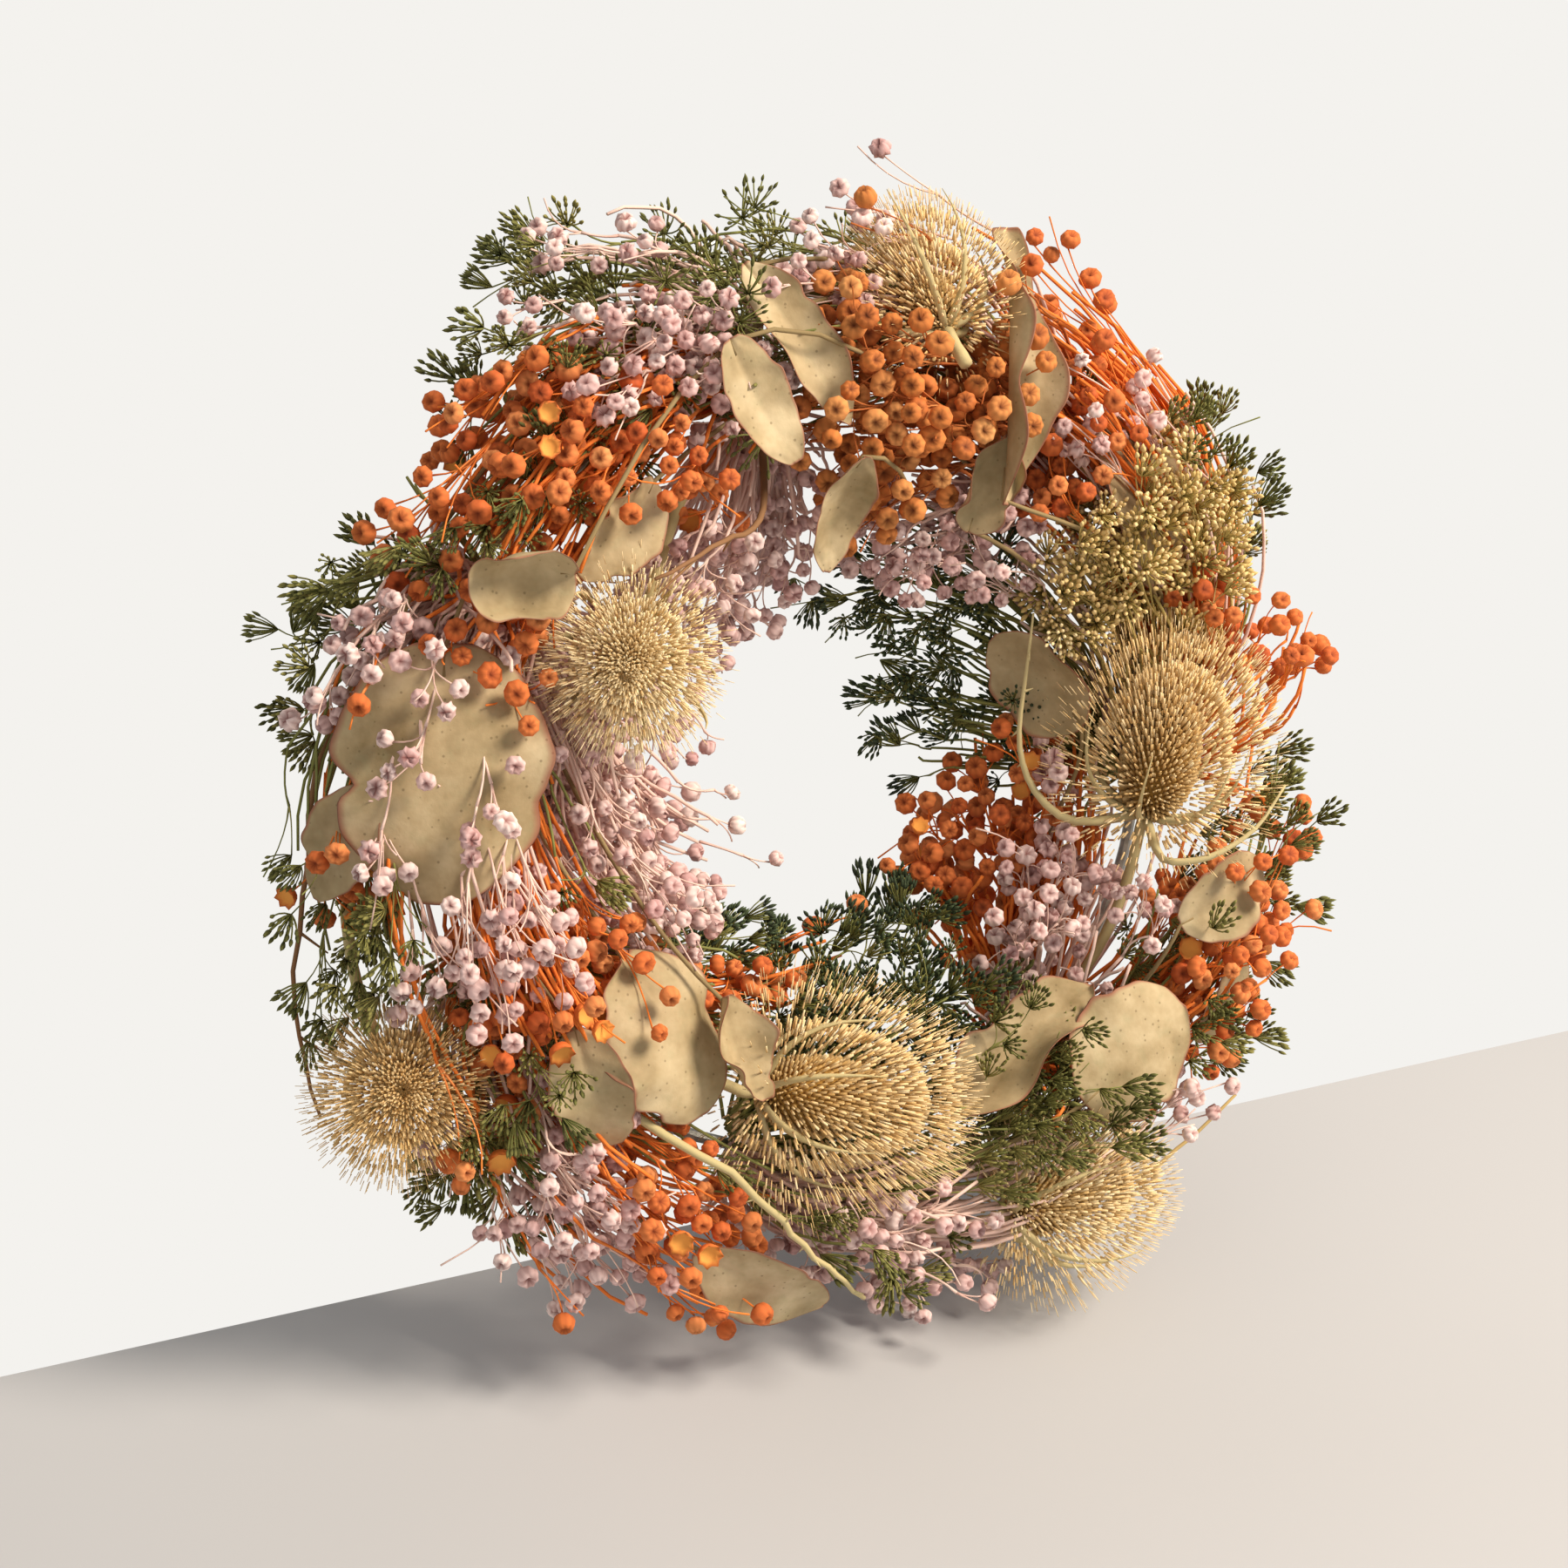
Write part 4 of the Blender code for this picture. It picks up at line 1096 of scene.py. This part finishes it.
def headCopies(heads, look, isTuft):
    places, ways = (np.array(column) for column in zip(*heads))
    count = len(places)
    turns = turnsAlong(ways, rng.uniform(0, fullTurn, count))
    tones = np.clip(rng.normal(0.5, 0.22, count), 0, 1)
    pick = rng.integers(0, 3, count)
    if isTuft:
        places = places - ways * umbelFoot
        scales = rng.uniform(0.85, 1.2, count)
        groups = []
        for index, (rays, buds) in enumerate(look["tufts"]):
            mine = pick % len(look["tufts"]) == index
            groups += [(rays, mine, 1), (buds, mine, 0)]
    else:
        size = look["head"] * mm * rng.uniform(0.82, 1.12, count)
        spans = [(0.92, 1.08), (0.92, 1.08), (0.8, 0.95)]
        scales = np.stack([size * rng.uniform(*span, count) for span in spans], -1)
        opened = rng.uniform(size=count) < look.get("opened", 0.0)
        groups = [(shape, (pick == index) & ~opened, 0) for index, shape in enumerate(look["heads"])]
        groups.append((openedHead, opened, 2))
    return [copies(shape, places[mine], turns[mine], scales[mine], tones[mine], finish)
            for shape, mine, finish in groups if mine.any()]


def makeBunch(name, station, kind, sprays):
    look = kinds[kind]
    isTuft = "tufts" in look
    gap = 4.5 * mm if isTuft else look["head"] * mm
    grown = {"stems": [], "branches": [], "twigs": [], "heads": []}
    for along, around, off, count in sprays + shorterSprays(sprays, 0.8 if isTuft else 1.3):
        along = countedOn(station, along)
        if count == 0:
            grown["stems"] += brushStems(station, along, around, off)
        else:
            growSpray(grown, station, along, around, off, count, isTuft, gap)
    thick = look["stem"] * mm
    parts = [stemTubes(grown["stems"], look["stem"])]
    branchTaper = [1.0, 0.8, 0.75, 0.72, 0.75, 1.05]
    parts.append(forkTubes(grown["branches"], 0.06, branchTaper, thick * 0.8, (0.2, 0.9)))
    twigTaper = [1.1, 0.75, 0.62, 0.6, 0.6, 0.75]
    parts.append(forkTubes(grown["twigs"], 0.08, twigTaper, thick * 0.62, (0.3, 1.0)))
    parts += headCopies(grown["heads"], look, isTuft)
    makePiece(name, parts, look["finishes"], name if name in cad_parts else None)
    return len(grown["heads"])


total = 0
for name, spec in bunches.items():
    total += makeBunch(name, **spec)
print("bunches made,", total, "heads")


twigPieces = {
    # tie, side it is bound on, places it passes (along, around, off in mm), radius in mm
    "bare_twig_upper": dict(station=1, bound=-48, through=[(113, -38, 62), (126, -24, 73), (138, -14, 78)],
                            thick=1.3, finish=barkTwig, twiglets=True),
    "bare_twig_lower": dict(station=2, bound=95, through=[(180, 97, 46), (194, 99, 62), (204, 97, 72)],
                            thick=1.2, finish=barkTwig, twiglets=True),
    "grass_blade": dict(station=4, bound=60, through=[(284, 58, 44), (302, 62, 64), (314, 62, 72)],
                        thick=1.2, finish=grassStraw),
    "thorny_stem": dict(station=3, bound=10,
                        through=[(234, 4, 68), (243, 11, 71), (251, 20, 72), (257, 30, 73)],
                        thick=1.6, finish=stemStraw, thorns=True),
}
boundSteps = 9  # points from the tie to the first place


def makeTwiglet(path, at):
    # a short side twig that leaves any way and goes on with the stem
    side = unit(rng.normal(0, 1, 3))
    onward = unit(path[at] - path[at - 1])
    s = np.linspace(0, 1, 5)[:, None]
    branch = path[at] + side * 11 * mm * s + onward * 9 * mm * s
    return tubes(branch[None], np.linspace(0.6, 0.3, 5)[None] * mm, 5, np.array([0.8]))


def makeTwig(name, station, bound, through, thick, finish, thorns=False, twiglets=False):
    start = (through[0][0], through[0][1], through[0][2] * mm)
    path = list(stemPath(station, bound, start, boundSteps))
    for here, there in zip(through, through[1:]):
        for step in range(1, 5):
            part = step / 4
            along, around, off = [a + (b - a) * part for a, b in zip(here, there)]
            path.append(onRing(along, around, off * mm) + rng.normal(0, 0.5 * mm, 3))
    path = np.array(path)
    radii = np.linspace(1.1, 0.45, len(path)) * thick * mm
    parts = [tubes(path[None], radii[None], 7, np.array([0.5]))]
    if thorns:
        parts += [makeThorn(path[at], 0.8, 0.8) for at in range(boundSteps, len(path) - 1)]
    if twiglets:
        parts += [makeTwiglet(path, at) for at in (10, 13)]
    makePiece(name, parts, [finish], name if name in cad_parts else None)


for name, spec in twigPieces.items():
    makeTwig(name, **spec)
print("twigs made")


# the ring and the loop keep their own shapes
for name in ("wire_ring", "hanging_loop"):
    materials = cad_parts[name].data.materials
    materials.clear()
    materials.append(steelWire)

# binding wire in mm: it goes round the stems in front and lies tight on the back of the ring
tie = dict(turns=3, wire=0.6, front=13.4, back=2.7, pitch=1.7)


def makeTie(name, station):
    around = np.linspace(180, 180 + tie["turns"] * 360, tie["turns"] * 28 + 1)
    # 1 round the front half, 0 or little at the back
    grip = np.clip(1.4 + 1.3 * np.cos(np.radians(around)), 0, 1)
    off = (tie["back"] + (tie["front"] - tie["back"]) * grip) * mm
    step = math.degrees(tie["pitch"] * mm / ringRadius)
    along = stationAngle(station) + ((around - 180) / 360 - tie["turns"] / 2) * step
    forward = ringFrame(stationAngle(station), 0)[0]
    path = onRing(along, around, off)[None]
    part = tubes(path, tie["wire"] * mm, 6, np.array([0.5]), beside=forward)
    piece = makeLoose(name, part, bindingWire)
    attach(piece, "wreath")
    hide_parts(name)


for station in range(stations):
    makeTie("binding_wire_" + str(station + 1), station)
print("ties made")


# the wreath stands on the floor: it leans back and is turned a little in its own plane
floorLean = math.radians(20)
floorTurn = math.radians(2.5)
floorFlat = math.cos(floorLean)
floorUp = Vector((math.sin(floorTurn) * floorFlat, -math.sin(floorLean), math.cos(floorTurn) * floorFlat))
floorAlong = Vector((math.cos(floorTurn), 0, -math.sin(floorTurn)))
floorFront = floorAlong.cross(floorUp)
floorWide, floorDeep = 5.0, 2.5
floorBehind = 0.044  # from the ring's middle back to the far edge


def makeFloor():
    lowest = 1e9
    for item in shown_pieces():
        verts = np.empty(len(item.data.vertices) * 3)
        item.data.vertices.foreach_get("co", verts)
        lowest = min(lowest, (verts.reshape(-1, 3) @ np.array(floorUp)).min())
    edge = Vector((0, ringCentre[1] + floorBehind, 0))
    edge.z = (lowest - edge.y * floorUp.y) / floorUp.z
    deselectAll()
    bpy.ops.mesh.primitive_plane_add(size=1.0)
    floor = bpy.context.object
    floor.name = "floor"
    half = floorWide / 2
    corners = [(-half, floorDeep), (half, floorDeep), (-half, 0), (half, 0)]
    for vert, (a, b) in zip(floor.data.vertices, corners):
        vert.co = edge + floorAlong * a + floorFront * b
    material, tree, shader = newMaterial("painted_board_floor", 0.55)
    coords = addNode(tree, "ShaderNodeTexCoord")
    noise = addNode(tree, "ShaderNodeTexNoise", {
        "Vector": coords.outputs["Object"], "Scale": 3.0, "Detail": 2.0})
    ramp = setRamp(addNode(tree, "ShaderNodeValToRGB", {"Fac": noise.outputs["Fac"]}),
                   [(0.3, "#B4B5B8"), (0.7, "#B9BABD")])
    tree.links.new(ramp.outputs["Color"], shader.inputs["Base Color"])
    floor.data.materials.append(material)


lamps = {
    # place from the ring's middle in m, size in m, power in W
    "key": dict(place=(1.2, -1.6, 1.2), size=0.75, power=84.0),
    "fill": dict(place=(-1.0, -1.2, 0.3), size=1.2, power=2.5),
}


def makeLamp(name, place, size, power):
    data = bpy.data.lights.new(name, "AREA")
    data.color = linear("#FFF1DF")[:3]
    data.size = size
    data.energy = power
    lamp = bpy.data.objects.new(name, data)
    bpy.context.scene.collection.objects.link(lamp)
    lamp.location = Vector(ringCentre) + Vector(place)
    lamp.rotation_euler = (-Vector(place)).to_track_quat("-Z", "Y").to_euler()


def makeWorld():
    # a white surround that lights the wreath at about half of what the camera sees
    world = bpy.data.worlds.new("studio")
    bpy.context.scene.world = world
    world.use_nodes = True
    tree = world.node_tree
    back = tree.nodes["Background"]
    back.inputs["Color"].default_value = linear("#F4F2EE")
    path = addNode(tree, "ShaderNodeLightPath")
    bright = addNode(tree, "ShaderNodeMapRange", {
        "Value": path.outputs["Is Camera Ray"], "To Min": 0.52, "To Max": 1.0})
    tree.links.new(bright.outputs["Result"], back.inputs["Strength"])


# angles in degrees round the ring's middle, distance in m, lens in mm, shifts in m
shot = dict(azimuth=-26.0, elevation=8.0, roll=-7.0, distance=0.9, lens=61.2,
            aside=-10.3 * mm, rise=-5.9 * mm)


def makeCamera():
    azimuth, elevation, roll = (math.radians(shot[key]) for key in ("azimuth", "elevation", "roll"))
    flat = math.cos(elevation)
    back = Vector((math.sin(azimuth) * flat, -math.cos(azimuth) * flat, math.sin(elevation)))
    right = (-back).cross(Vector((0, 0, 1))).normalized()
    up = right.cross(-back)
    cosine, sine = math.cos(roll), math.sin(roll)
    right, up = right * cosine + up * sine, up * cosine - right * sine
    data = bpy.data.cameras.new("camera")
    data.lens = shot["lens"]
    data.clip_start = 0.01
    camera = bpy.data.objects.new("camera", data)
    bpy.context.scene.collection.objects.link(camera)
    place = Vector(ringCentre) + back * shot["distance"] + right * shot["aside"] + up * shot["rise"]
    turn = Matrix((right, up, back)).transposed().to_4x4()
    camera.matrix_world = Matrix.Translation(place) @ turn
    bpy.context.scene.camera = camera


bpy.context.scene.view_settings.view_transform = "Standard"
makeFloor()
makeWorld()
for name, spec in lamps.items():
    makeLamp(name, **spec)
makeCamera()
print("scene done")
